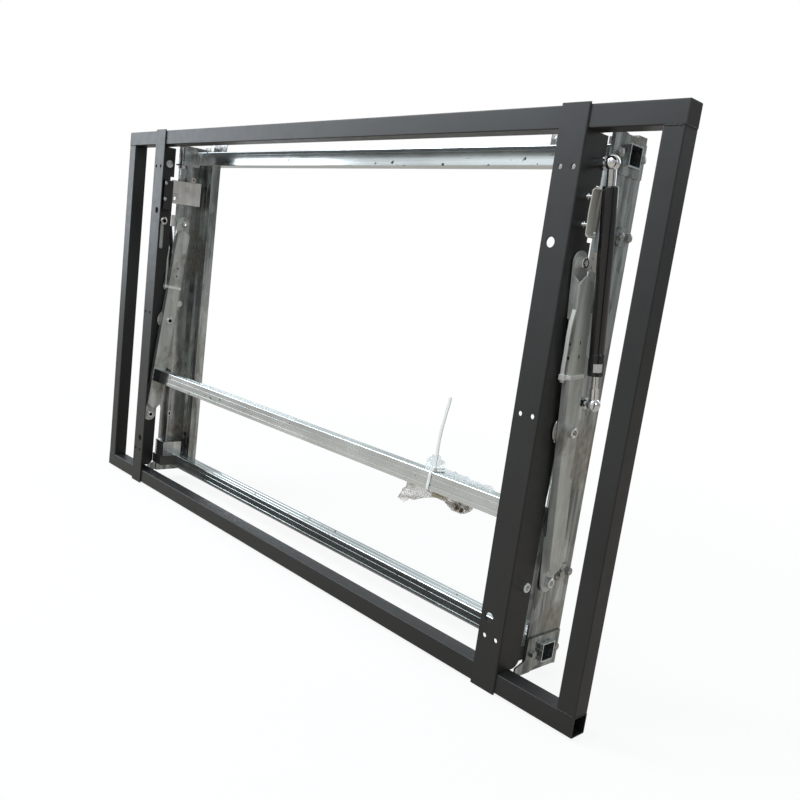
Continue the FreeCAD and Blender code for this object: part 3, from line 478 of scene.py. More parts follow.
def grid_faces(rows: int, columns: int, wrap_rows: bool, wrap_columns: bool) -> list[tuple[int, ...]]:
    """Quads between neighbours of a grid of points that is numbered row by row.

    Args:
        rows: Number of rows.
        columns: Points in a row.
        wrap_rows: Whether the last row joins the first.
        wrap_columns: Whether a row's last point joins its first.

    Returns:
        The faces.
    """
    row = np.arange(rows if wrap_rows else rows - 1)[:, None]
    column = np.arange(columns if wrap_columns else columns - 1)[None, :]
    next_row = (row + 1) % rows
    next_column = (column + 1) % columns
    corners = [row * columns + column, row * columns + next_column,
               next_row * columns + next_column, next_row * columns + column]
    return [tuple(face) for face in np.stack(corners, axis=-1).reshape(-1, 4).tolist()]


def tube_shape(points: np.ndarray, closed: bool = False) -> Surface:
    """Tube through the rings of a grid of points.

    Args:
        points: Rings, points of a ring, and coordinates.
        closed: Whether the last ring joins the first.

    Returns:
        The surface, with flat ends on an open tube.
    """
    rows, columns = points.shape[:2]
    faces = grid_faces(rows, columns, closed, True)
    if not closed:
        faces.append(tuple(range(columns)))
        faces.append(tuple(range((rows - 1) * columns, rows * columns)))
    return Surface(points.reshape(-1, 3), faces)


def slab_shape(front: np.ndarray, back: np.ndarray) -> Surface:
    """Thin sheet between two grids of points of the same size, with its rim.

    Args:
        front: Rows, columns and coordinates of the front side.
        back: The same of the rear side.

    Returns:
        The closed surface.
    """
    rows, columns = front.shape[:2]
    count = rows * columns
    faces = grid_faces(rows, columns, False, False)
    rear = [tuple(i + count for i in face[::-1]) for face in faces]
    edge = [*range(columns), *range(2 * columns - 1, count, columns),
            *range(count - 2, count - columns - 1, -1), *range(count - 2 * columns, 0, -columns)]
    rim = [(edge[i - 1], edge[i], edge[i] + count, edge[i - 1] + count) for i in range(len(edge))]
    return Surface(np.vstack([front.reshape(-1, 3), back.reshape(-1, 3)]), faces + rear + rim)


def rounded_section(width: float, height: float, corner: float, steps: int = 4) -> np.ndarray:
    """Rectangle with rounded corners, as points round its outline.

    Each corner is a quarter circle: its centre lies one corner radius inside both edges.

    Args:
        width: Size along the first direction.
        height: Size along the second direction.
        corner: Corner radius.
        steps: Spans in each corner.

    Returns:
        Points as an array of pairs.
    """
    turn = np.linspace(0.0, math.pi / 2, steps + 1)
    arcs = []
    for quarter, (a, b) in enumerate(((1, 1), (-1, 1), (-1, -1), (1, -1))):
        angle = turn + quarter * math.pi / 2
        centre = np.array([a * (width / 2 - corner), b * (height / 2 - corner)])
        arcs.append(centre + corner * np.stack([np.cos(angle), np.sin(angle)], axis=-1))
    return np.vstack(arcs)


def carried(section: np.ndarray, path: np.ndarray, across: Triple, closed: bool = False) -> Surface:
    """Carries a flat outline along a path.

    At each point of the path the outline's second direction is the fixed across direction, and its first
    one is square to that and to the path's own direction.

    Args:
        section: Outline as pairs.
        path: Points of the path.
        across: Direction that stays square to the path.
        closed: Whether the path's end joins its start.

    Returns:
        The surface, with flat ends on an open path.
    """
    if closed:
        tangent = np.roll(path, -1, axis=0) - np.roll(path, 1, axis=0)
    else:
        tangent = np.gradient(path, axis=0)
    tangent /= np.linalg.norm(tangent, axis=1, keepdims=True)
    second = np.asarray(across, dtype=float)
    second = second - tangent * (tangent @ second)[:, None]
    second /= np.linalg.norm(second, axis=1, keepdims=True)
    first = np.cross(second, tangent)
    return tube_shape(path[:, None, :] + section[None, :, 0, None] * first[:, None, :]
                      + section[None, :, 1, None] * second[:, None, :], closed)


def round_angles(segments: int) -> np.ndarray:
    """Angles in equal steps round a full turn."""
    return np.linspace(0.0, 2 * math.pi, segments, endpoint=False)


def turned_shape(radii: Rings, places: Rings, segments: int = 40) -> Surface:
    """Rings about the X axis, joined from place to place.

    The point at a place and an angle lies at its radius times the angle's sine and cosine.

    Args:
        radii: Radius of each ring, or of each point of each ring, with zero at both ends.
        places: X of the same.
        segments: Steps round the axis.

    Returns:
        The closed surface.
    """
    angle = round_angles(segments)
    points = np.empty((len(radii), segments, 3))
    for ring, radius, place in zip(points, radii, places):
        ring[:, 0] = place
        ring[:, 1] = radius * np.sin(angle)
        ring[:, 2] = radius * np.cos(angle)
    return Surface(points.reshape(-1, 3), grid_faces(len(radii), segments, False, True))


def pin_shape(low: float, high: float, radius: float, chamfer: float) -> Surface:
    """Pin or washer along X between two places, with chamfered edges."""
    return turned_shape([0.0, radius - chamfer, radius, radius, radius - chamfer, 0.0],
                        [low, low, low + chamfer, high - chamfer, high, high])


def hexagon_edge(flats: float, segments: int) -> np.ndarray:
    """Distance to a hexagon's edge: half its flats over the cosine of the angle to the nearest flat."""
    angle = round_angles(segments)
    return flats / 2 / np.cos((angle + math.pi / 6) % (math.pi / 3) - math.pi / 6)


def hexagon_shape(flats: float, length: float, segments: int = 72) -> Surface:
    """Hexagonal head or nut along X from 0 to its length, with its outer corners turned down.

    The chamfer takes each corner back in proportion to how far it stands past the flats.

    Args:
        flats: Distance across the flats.
        length: Length along X.
        segments: Steps round the axis, a multiple of six.

    Returns:
        The closed surface.
    """
    edge = hexagon_edge(flats, segments)
    bevel = 0.96 * flats / 2
    drop = HEX_CHAMFER * (edge - bevel)
    return turned_shape([0.0, bevel, edge, edge, bevel, 0.0],
                        [0.0, 0.0, 0.3 * drop, length - drop, length, length], segments)


def thread_shape(radius: float, length: float, pitch: float, depth: float, segments: int = 20) -> Surface:
    """Threaded rod along X from 0 to its length.

    The radius falls and rises by the thread's depth as a triangle wave of the place along the rod minus
    the angle's share of a pitch, and fades out over the last pitch at each end.

    Args:
        radius: Outer radius.
        length: Length along X.
        pitch: Distance between turns.
        depth: Depth of the thread.
        segments: Steps round the axis.

    Returns:
        The closed surface.
    """
    rows = int(length / pitch * 6) + 2
    place = np.linspace(0.0, length, rows)[:, None]
    wave = np.abs(2.0 * ((place / pitch - round_angles(segments) / (2 * math.pi)) % 1.0) - 1.0)
    fade = np.clip(np.minimum(place, length - place) / pitch, 0.0, 1.0)
    reach = radius - depth * (1.0 - wave) * fade - depth * (1.0 - fade)
    return turned_shape([0.0, *reach, 0.0], [0.0, *place, length], segments)


def rounded_block(size: Triple, squareness: float = 0.22, steps: int = 20) -> Surface:
    """Rounded block about the origin.

    Each coordinate is half the size times the sines and cosines of a ball's two angles, raised to a small
    power so that the ball swells towards a box.

    Args:
        size: Full sizes.
        squareness: Power; smaller is squarer.
        steps: Steps from pole to pole.

    Returns:
        The closed surface.
    """
    def squared(values: np.ndarray) -> np.ndarray:
        """Values with their size raised to the power and their sign kept."""
        return np.sign(values) * np.abs(values) ** squareness

    rise = np.linspace(-math.pi / 2, math.pi / 2, steps)[:, None]
    angle = round_angles(2 * steps)
    flat = np.clip(np.cos(rise), 0.0, 1.0)
    points = np.empty((steps, 2 * steps, 3))
    points[..., 0] = size[0] / 2 * squared(flat) * squared(np.cos(angle))
    points[..., 1] = size[1] / 2 * squared(flat) * squared(np.sin(angle))
    points[..., 2] = size[2] / 2 * squared(np.sin(rise))
    return Surface(points.reshape(-1, 3), grid_faces(steps, 2 * steps, False, True))


def smooth_path(corners: list[Triple], count: int) -> np.ndarray:
    """Smooth path through corner points, as a Catmull-Rom curve.

    Between two corners each coordinate is the cubic whose slopes at the corners are half the distance
    between their neighbours.

    Args:
        corners: Points that the path goes through.
        count: Points in the result.

    Returns:
        The path's points.
    """
    knots = np.array(corners, dtype=float)
    padded = np.vstack([2 * knots[0] - knots[1], knots, 2 * knots[-1] - knots[-2]])
    place = np.linspace(0.0, len(knots) - 1 - 1e-9, count)
    span = place.astype(int)
    t = (place - span)[:, None]
    p0, p1, p2, p3 = (padded[span + k] for k in range(4))
    return 0.5 * (2 * p1 + (p2 - p0) * t + (2 * p0 - 5 * p1 + 4 * p2 - p3) * t ** 2
                  + (3 * p1 - p0 - 3 * p2 + p3) * t ** 3)


@dataclass(frozen=True)
class Tilt:
    """A frame turned about a line along X, which stands at a depth and a height."""

    depth: float
    height: float
    degrees: float

    def place(self, surface: Surface) -> Surface:
        """Moves a surface from this frame to the mount's.

        The turn brings the top to the front when the angle is positive.

        Args:
            surface: Points as x, depth and height from the frame's line.

        Returns:
            The surface in the mount's frame.
        """
        angle = math.radians(self.degrees)
        x, u, h = surface.points.T
        depth = self.depth + u * math.cos(angle) - h * math.sin(angle)
        height = self.height + u * math.sin(angle) + h * math.cos(angle)
        return Surface(np.stack([x, depth, height], axis=-1), surface.faces)


OUTER_ARM = Tilt(66.0, -208.0, ARM_LEAN)
INNER_ARM = Tilt(24.0, -208.0, -ARM_LEAN)
MIDDLE_BAR = Tilt(32.922, -126.0, -ARM_LEAN)


@dataclass
class Workshop:
    """Turns surfaces into pieces that ride on the CAD bodies."""

    made: list[str] = field(default_factory=list)

    def piece(self, name: str, surface: Surface, finish: Finish, body: str,
              sharp: float = 35.0) -> bpy.types.Object:
        """Makes one piece, in metres and with its faces outwards.

        Args:
            name: The piece's name.
            surface: Its points and faces.
            finish: Its finish.
            body: The CAD body that it rides on.
            sharp: Angle in degrees past which an edge stays sharp.

        Returns:
            The new object.
        """
        points = (surface.points - np.array([0.0, WALL_DEPTH, 0.0])) * MM
        mesh = bpy.data.meshes.new(name)
        mesh.from_pydata(points.tolist(), [], surface.faces)
        work = bmesh.new()
        work.from_mesh(mesh)
        bmesh.ops.remove_doubles(work, verts=work.verts, dist=1e-6)
        bmesh.ops.recalc_face_normals(work, faces=work.faces)
        work.to_mesh(mesh)
        work.free()
        mesh.polygons.foreach_set("use_smooth", np.ones(len(mesh.polygons), dtype=bool))
        mesh.set_sharp_from_angle(angle=math.radians(sharp))
        mesh.materials.append(finish.build())
        piece = bpy.data.objects.new(name, mesh)
        bpy.context.scene.collection.objects.link(piece)
        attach(piece, body)
        self.made.append(name)
        LOG.info("%s rides on %s, %d faces", name, body, len(mesh.polygons))
        return piece


@dataclass
class CadNodes:
    """The CAD nodes that are shown, each with its finish."""

    nodes: dict[str, bpy.types.Object]

    def dress(self) -> None:
        """Gives every CAD node its finish."""
        for finish, names in NODE_FINISHES.items():
            material = finish.build()
            for name in names:
                slots = self.nodes[name].material_slots
                for slot in slots:
                    slot.material = material
                if not slots:
                    self.nodes[name].data.materials.append(material)
        LOG.info("%d CAD nodes dressed", sum(len(names) for names in NODE_FINISHES.values()))


@dataclass
class SubAssembly:
    """Pieces that belong together; the classes below say which. The workshop makes them."""

    workshop: Workshop


@dataclass
class FrontFrameWelds(SubAssembly):
    """Ground weld beads where the front frame's uprights meet the tubes above and below them."""

    half_width: float = 606.5
    half_height: float = 342.0
    tube: float = 25.0
    sunk: float = 0.25

    def bead(self, start: tuple[float, float], end: tuple[float, float], height: float) -> Surface:
        """One bead at a height, with small ripples.

        The bead's radius is 1 mm times one plus small sines of the place along it, and less at its ends.

        Args:
            start: X and depth of its first point.
            end: X and depth of its last point.
            height: Its height.

        Returns:
            The bead's surface.
        """
        first, last = np.array([*start, height]), np.array([*end, height])
        share = np.linspace(0.0, 1.0, 40)
        path = first + share[:, None] * (last - first)
        ends = np.sqrt(np.clip(1.0 - (2.0 * share - 1.0) ** 8, 0.04, 1.0))
        size = ends * (1.0 + 0.20 * np.sin(60.0 * share) + 0.16 * np.sin(23.0 * share + 1.0))
        surface = carried(rounded_section(2.0, 2.0, 0.99), path, (0, 0, 1))
        columns = len(surface.points) // len(path)
        centres = np.repeat(path, columns, axis=0)
        grown = centres + (surface.points - centres) * np.repeat(size, columns)[:, None]
        return Surface(grown, surface.faces)

    def build(self) -> None:
        """Makes the beads at all four corners."""
        low, high = self.half_width - self.tube + 1.0, self.half_width - 1.2
        face = self.half_width - self.sunk
        lines = (((low, self.sunk), (high, self.sunk)), ((face, 1.5), (face, 23.5)),
                 ((low, self.tube - self.sunk), (high, self.tube - self.sunk)))
        seam = self.half_height - self.tube
        right = join([self.bead(*line, z) for z in (seam, -seam) for line in lines])
        self.workshop.piece("frame_weld_beads", right.both(), COAT, "screen_side", 60.0)


@dataclass
class HexFasteners(SubAssembly):
    """Bolts of the wall side with turned-down hexagon heads and washers under them."""

    plate_face: float = 495.5
    shank_end: float = 490.5
    shank: float = 2.5
    flats: float = 9.0
    head: float = 4.0
    washer: float = 5.6
    washer_sheet: float = 0.7
    plate_columns: tuple[float, float] = (62.5, 109.0)
    strap_columns: tuple[float, float] = (92.0, 109.0)
    plate_rows: tuple[float, float] = (304.0, -304.0)
    strap_rows: tuple[float, float] = (215.0, -201.0)
    turn_step: float = 17.0

    def bolt(self, depth: float, height: float, turn: float) -> Surface:
        """One bolt with its washer, pointing into the plate.

        Args:
            depth: Depth of its axis.
            height: Height of its axis.
            turn: Angle in degrees by which its hexagon is turned.

        Returns:
            The bolt's surface.
        """
        seat = self.plate_face + self.washer_sheet
        shank = thread_shape(self.shank, self.plate_face - self.shank_end + 0.4, 0.8, 0.35)
        whole = join([pin_shape(self.plate_face, seat, self.washer, 0.15),
                      hexagon_shape(self.flats, self.head - self.washer_sheet).moved(seat, 0.0, 0.0),
                      shank.moved(self.shank_end, 0.0, 0.0)])
        return Tilt(depth, height, turn).place(whole)

    def build(self) -> None:
        """Makes the sixteen bolts."""
        places = [(d, z) for z in self.plate_rows for d in self.plate_columns]
        places += [(d, z) for z in self.strap_rows for d in self.strap_columns]
        right = join([self.bolt(d, z, self.turn_step * i) for i, (d, z) in enumerate(places)])
        piece = self.workshop.piece("hexagon_bolts", right.both(), DULL_ZINC, "wall_side")
        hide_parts("wall_frame_bolts")


@dataclass(frozen=True)
class PivotBolt:
    """Places along X of one socket-head bolt, its nut and its washer, on an axis at a depth and a height."""

    depth: float
    height: float
    seat: float
    face: float
    tip: float
    nut: tuple[float, float]
    washer: tuple[float, float]


@dataclass
class PivotFasteners(SubAssembly):
    """Socket-head bolts of the scissors' joints with their nuts, washers, domed discs and bushes."""

    head: float = 6.4
    knurl: float = 0.12
    shank: float = 4.0
    socket: float = 6.2
    socket_depth: float = 3.6
    flats: float = 13.0
    collar: float = 5.4
    washer: float = 8.0
    bush: float = 8.0
    disc: float = 19.0
    centre: PivotBolt = PivotBolt(45.0, -15.0, 507.0, 513.0, 470.8, (470.8, 476.8), (504.6, 505.8))
    outer_slide: PivotBolt = PivotBolt(24.0, 178.0, 497.0, 503.0, 484.8, (484.8, 490.8), (493.2, 494.5))
    inner_slide: PivotBolt = PivotBolt(66.0, 178.0, 487.0, 481.0, 499.2, (499.2, 493.2), (489.5, 490.3))
    front: PivotBolt = PivotBolt(24.0, -208.0, 493.0, 499.0, 480.8, (480.8, 486.8), (489.7, 491.0))
    rear: PivotBolt = PivotBolt(66.0, -208.0, 497.2, 503.2, 484.5, (484.5, 490.5), (493.0, 494.3))

    def socket_head(self, length: float, segments: int = 144) -> Surface:
        """Cap head along X from 0 to its length, with a knurled rim and a hexagonal socket in its end.

        The rim's radius is the head's plus a small sine of the angle.

        Args:
            length: Height of the head.
            segments: Steps round the axis, a multiple of six.

        Returns:
            The closed surface.
        """
        rim = self.head - self.knurl + self.knurl * np.sin(36 * round_angles(segments))
        edge = hexagon_edge(self.socket, segments)
        bottom = length - self.socket_depth
        return turned_shape([0.0, rim, rim, self.head - 0.8, edge + 0.35, edge, edge, 0.0],
                            [0.0, 0.0, length - 0.9, length, length, length - 0.35, bottom, bottom - 0.8],
                            segments)

    def round_plate(self, low: float, high: float, radius: float, dome: float = 0.0) -> Surface:
        """Washer, bush or disc between two places, with turned edges and both faces domed outwards.

        A face's place falls from the dome's height at the axis to nothing at the edge as the radius squared.

        Args:
            low: Lower X.
            high: Higher X.
            radius: Outer radius.
            dome: How far the middle stands out past the edge.

        Returns:
            The closed surface.
        """
        chamfer = min(0.4, 0.3 * (high - low))
        share = np.linspace(0.0, 1.0, 9)
        radii = share * (radius - chamfer)
        rise = dome * (1.0 - share ** 2)
        places = np.concatenate([low + dome - rise, [low + dome + chamfer, high - dome - chamfer],
                                 (high - dome + rise)[::-1]])
        return turned_shape(np.concatenate([radii, [radius, radius], radii[::-1]]), places, 96)

    def stacked(self, bolt: PivotBolt) -> Surface:
        """One bolt with its shank, nut and washer.

        Args:
            bolt: Its places.

        Returns:
            The joined surface, on its axis.
        """
        sign = 1.0 if bolt.face > bolt.seat else -1.0
        outer, inner = bolt.nut
        shank = thread_shape(self.shank, abs(bolt.tip - bolt.seat), 1.25, 0.5, 32)
        parts = [self.socket_head(abs(bolt.face - bolt.seat)).along(sign, bolt.seat),
                 shank.along(-sign, bolt.seat),
                 hexagon_shape(self.flats, abs(inner - outer) - 1.4).along(-sign, inner),
                 self.round_plate(*sorted((outer, outer + sign * 1.6)), self.collar),
                 self.round_plate(*bolt.washer, self.washer)]
        return join(parts).moved(0.0, bolt.depth, bolt.height)

    def build(self) -> None:
        """Makes the fasteners of both sides."""
        axis = (0.0, self.centre.depth, self.centre.height)
        outer = join([self.stacked(self.centre), self.round_plate(493.6, 497.0, self.disc, 0.9).moved(*axis),
                      self.round_plate(497.0, 504.5, self.bush).moved(*axis)])
        made = ((outer, "centre_pivot"), (self.stacked(self.outer_slide), "outer_slide_pin"))
        for side in Side:
            for surface, node in made:
                piece = self.workshop.piece(side.named(node + "_bolt"), surface.on(side), STEEL,
                                            side.named("outer_scissor"), 30.0)
                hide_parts(side.named(node))
        discs = join([self.round_plate(487.0, 490.1, self.disc, 0.8),
                      self.round_plate(479.5, 487.0, self.bush)]).moved(*axis)
        groups = ((discs, "inner_pivot_discs", STEEL, "inner_scissors"),
                  (self.stacked(self.inner_slide), "inner_slide_pins", STEEL, "inner_scissors"),
                  (self.stacked(self.front), "front_pivot_bolts", ZINC, "screen_side"),
                  (self.stacked(self.rear), "rear_pivot_bolts", ZINC, "wall_side"))
        for surface, node, finish, body in groups:
            piece = self.workshop.piece("turned_" + node, surface.both(), finish, body, 30.0)
            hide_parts(node)


@dataclass
class LevelScrews(SubAssembly):
    """Threaded levelling screws of the hangers, with their heads and nuts."""

    place: float = 474.5
    depth: float = 50.0
    seat: float = 286.5
    floor: float = 289.0
    length: float = 37.0
    radius: float = 3.5
    flats: float = 12.0
    head: float = 5.5

    def upright(self, surface: Surface, height: float) -> Surface:
        """Stands a surface made along X on end at a height, on the screw's axis.

        Args:
            surface: Surface along X from 0.
            height: Where its start goes.

        Returns:
            The same surface along the height.
        """
        x, u, h = surface.points.T
        points = np.stack([self.place + u, self.depth + h, x + height], axis=-1)
        return Surface(points, surface.faces)

    def build(self) -> None:
        """Makes both screws."""
        thread = thread_shape(self.radius, self.floor + self.length - self.seat, 1.25, 0.55)
        hexagon = hexagon_shape(self.flats, self.head)
        right = join([self.upright(thread, self.seat), self.upright(hexagon, self.seat - self.head),
                      self.upright(hexagon, self.floor)])
        piece = self.workshop.piece("threaded_level_screws", right.both(), ZINC, "wall_side")
        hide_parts("level_screws")


@dataclass
class LockDetails(SubAssembly):
    """Pin of each press lock with its coiled return spring."""

    low: float = 477.7
    high: float = 490.7
    pin: float = 2.5
    depth: float = 26.0
    height: float = 227.0
    coil_start: float = 486.9
    coil: float = 4.3
    wire: float = 0.42
    pitch: float = 0.62
    turns: float = 3.0

    def build(self) -> None:
        """Makes the pins and the coils.

        A coil's middle line is a circle whose place along X grows steadily with the angle.
        """
        angle = np.linspace(0.0, 2 * math.pi * self.turns, int(40 * self.turns))
        line = np.stack([self.coil_start + self.pitch * angle / (2 * math.pi), self.coil * np.sin(angle),
                         self.coil * np.cos(angle)], axis=-1)
        section = rounded_section(2 * self.wire, 2 * self.wire, 0.98 * self.wire, 2)
        parts = [pin_shape(self.low, self.high, self.pin, 0.4), carried(section, line, (1, 0, 0))]
        right = join(parts).moved(0.0, self.depth, self.height)
        piece = self.workshop.piece("lock_pins_and_springs", right.both(), ZINC, "screen_side")
        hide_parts("lock_pins")


@dataclass
class LockCovers(SubAssembly):
    """Pale strips held off the front angles by the locks' screws, creased in the middle, with bent ends."""

    face: float = 505.6
    dip: float = 0.9
    low: float = 205.2
    high: float = 256.8
    depth: float = 17.0
    width: float = 14.0
    sheet: float = 1.5
    lip: float = 2.6
    side: float = 493.0
    inner: float = 476.5
    screw_rows: tuple[float, float] = (249.0, 219.0)
    shank: float = 1.8

    def strip(self) -> Surface:
        """The right strip.

        Its middle line is straight from each bent end to the crease, with a point close to each corner.

        Returns:
            The strip's surface.
        """
        middle = (self.low + self.high) / 2
        top = self.high - middle
        half = [(self.face - self.dip, 0.0), (self.face - 0.85 * self.dip, 2.0),
                (self.face - 0.1, top - 3.4), (self.face, top - 2.6), (self.face + 0.5, top - 1.6),
                (self.face + self.lip, top)]
        line = [(x, -h) for x, h in half[:0:-1]] + half
        path = np.array([(x, self.depth, middle + h) for x, h in line])
        return carried(rounded_section(self.sheet, self.width, 0.4), path, (0, 1, 0))

    def screw(self, height: float) -> Surface:
        """One screw that holds the strip, with its cap, its shank and its nut on the angle's side.

        Args:
            height: Height of its axis.

        Returns:
            The screw's surface.
        """
        end = self.face - self.dip - self.sheet / 2 + 0.3
        shank = thread_shape(self.shank, end - self.inner, 0.9, 0.28).moved(self.inner, 0.0, 0.0)
        nut = hexagon_shape(6.4, 2.5).moved(self.side, 0.0, 0.0)
        cap = turned_shape([0.0, 2.4, 3.1, 3.2, 3.2, 0.0],
                           np.array([-1.6, -1.6, -1.1, -0.7, 0.0, 0.0]) + self.inner)
        return join([shank, nut, cap]).moved(0.0, self.depth, height)

    def build(self) -> None:
        """Makes both strips and their screws."""
        piece = self.workshop.piece("lock_cover_strips", self.strip().both(), COVER, "screen_side", 25.0)
        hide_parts("lock_covers")
        held = join([self.screw(height) for height in self.screw_rows])
        piece = self.workshop.piece("lock_cover_screws", held.both(), ZINC, "screen_side")
        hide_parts("lock_screws")


@dataclass
class CableTies(SubAssembly):
    """Nylon ties on the right outer arm, the left inner arm and the middle bar, with tails standing up."""

    width: float = 5.0
    sheet: float = 1.2
    head: Triple = (8.0, 5.0, 7.0)
    arm_height: float = 260.139
    arm_half: float = 13.15
    arm_tail: float = 78.0
    bar_place: float = 317.0
    bar_half: float = 12.6

    def strap_section(self) -> np.ndarray:
        """Outline of the strap, thickness first."""
        return rounded_section(self.sheet, self.width, 0.35, 3)

    def tail(self, corners: list[Triple]) -> Surface:
        """A tie's tail through points."""
        return carried(self.strap_section()[:, ::-1], smooth_path(corners, 50), (0, 1, 0))

    def on_channel(self, low: float, high: float, head_x: float) -> Surface:
        """Tie on an upright channel arm.

        Args:
            low: Lowest x that the loop clears.
            high: Highest x that the loop clears.
            head_x: X of the head's middle.

        Returns:
            Loop, head and tail in the arm's frame.
        """
        z = self.arm_height
        flat = rounded_section(high - low + self.sheet, 2 * self.arm_half + self.sheet, 1.6, 6)
        path = np.column_stack([flat[:, 0] + (low + high) / 2, flat[:, 1], np.full(len(flat), z)])
        loop = carried(self.strap_section(), path, (0, 0, 1), closed=True)
        front = -self.arm_half - self.sheet
        head = rounded_block(self.head).moved(head_x, front - self.head[1] / 2 + 0.3, z)
        tail = self.tail([(head_x, front - 2.4, z - 6.0), (head_x, front - 2.8, z + 8.0),
                          (head_x + 2.2, front - 3.6, z + 30.0), (head_x + 5.0, front - 5.2, z + 56.0),
                          (head_x + 8.4, front - 4.4, z + self.arm_tail)])
        return join([loop, head, tail])

    def round_bar(self) -> Surface:
        """The tie round the middle bar and the bag's neck.

        The loop runs smoothly through points over the bar's top, down its front, below the neck and up
        behind it.

        Returns:
            The tie's surface.
        """
        x, edge = self.bar_place, self.bar_half + self.sheet / 2
        corners = [(-edge + 3, edge), (-edge, edge - 3), (-edge, 0.0), (-edge, -edge + 3),
                   (-edge + 2.5, -edge - 0.5), (0.0, -edge - 4.0), (12.0, -edge - 6.0), (19.0, -edge - 1.0),
                   (20.0, -2.0), (15.5, 9.0), (edge - 3, edge), (0.0, edge), (-edge + 3, edge)]
        path = smooth_path([(x, u, h) for u, h in corners], 150)[:-1]
        loop = carried(self.strap_section(), path, (1, 0, 0), closed=True)
        top = edge + self.sheet / 2
        head = rounded_block((self.head[0], 7.0, self.head[1])).moved(x, -8.0, top + self.head[1] / 2)
        rise = top + self.head[1] - 3.0
        tail = self.tail([(x, -8.0, rise), (x + 0.8, -8.6, rise + 12), (x + 0.4, -10.5, rise + 50),
                          (x + 4.5, -11.0, rise + 99)])
        return MIDDLE_BAR.place(join([loop, head, tail]))

    def build(self) -> None:
        """Makes the right outer arm's tie, and the two on the inner scissors as one piece."""
        right = OUTER_ARM.place(self.on_channel(496.85, 507.15, 499.0))
        piece = self.workshop.piece("outer_arm_cable_tie", right, NYLON, "outer_scissor_right")
        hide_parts("outer_arm_tie")
        left = INNER_ARM.place(self.on_channel(476.85, 487.15, 485.0)).on(Side.LEFT)
        inner_ties = join([left, self.round_bar()])
        piece = self.workshop.piece("inner_cable_ties", inner_ties, NYLON, "inner_scissors")
        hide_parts("inner_arm_ties")


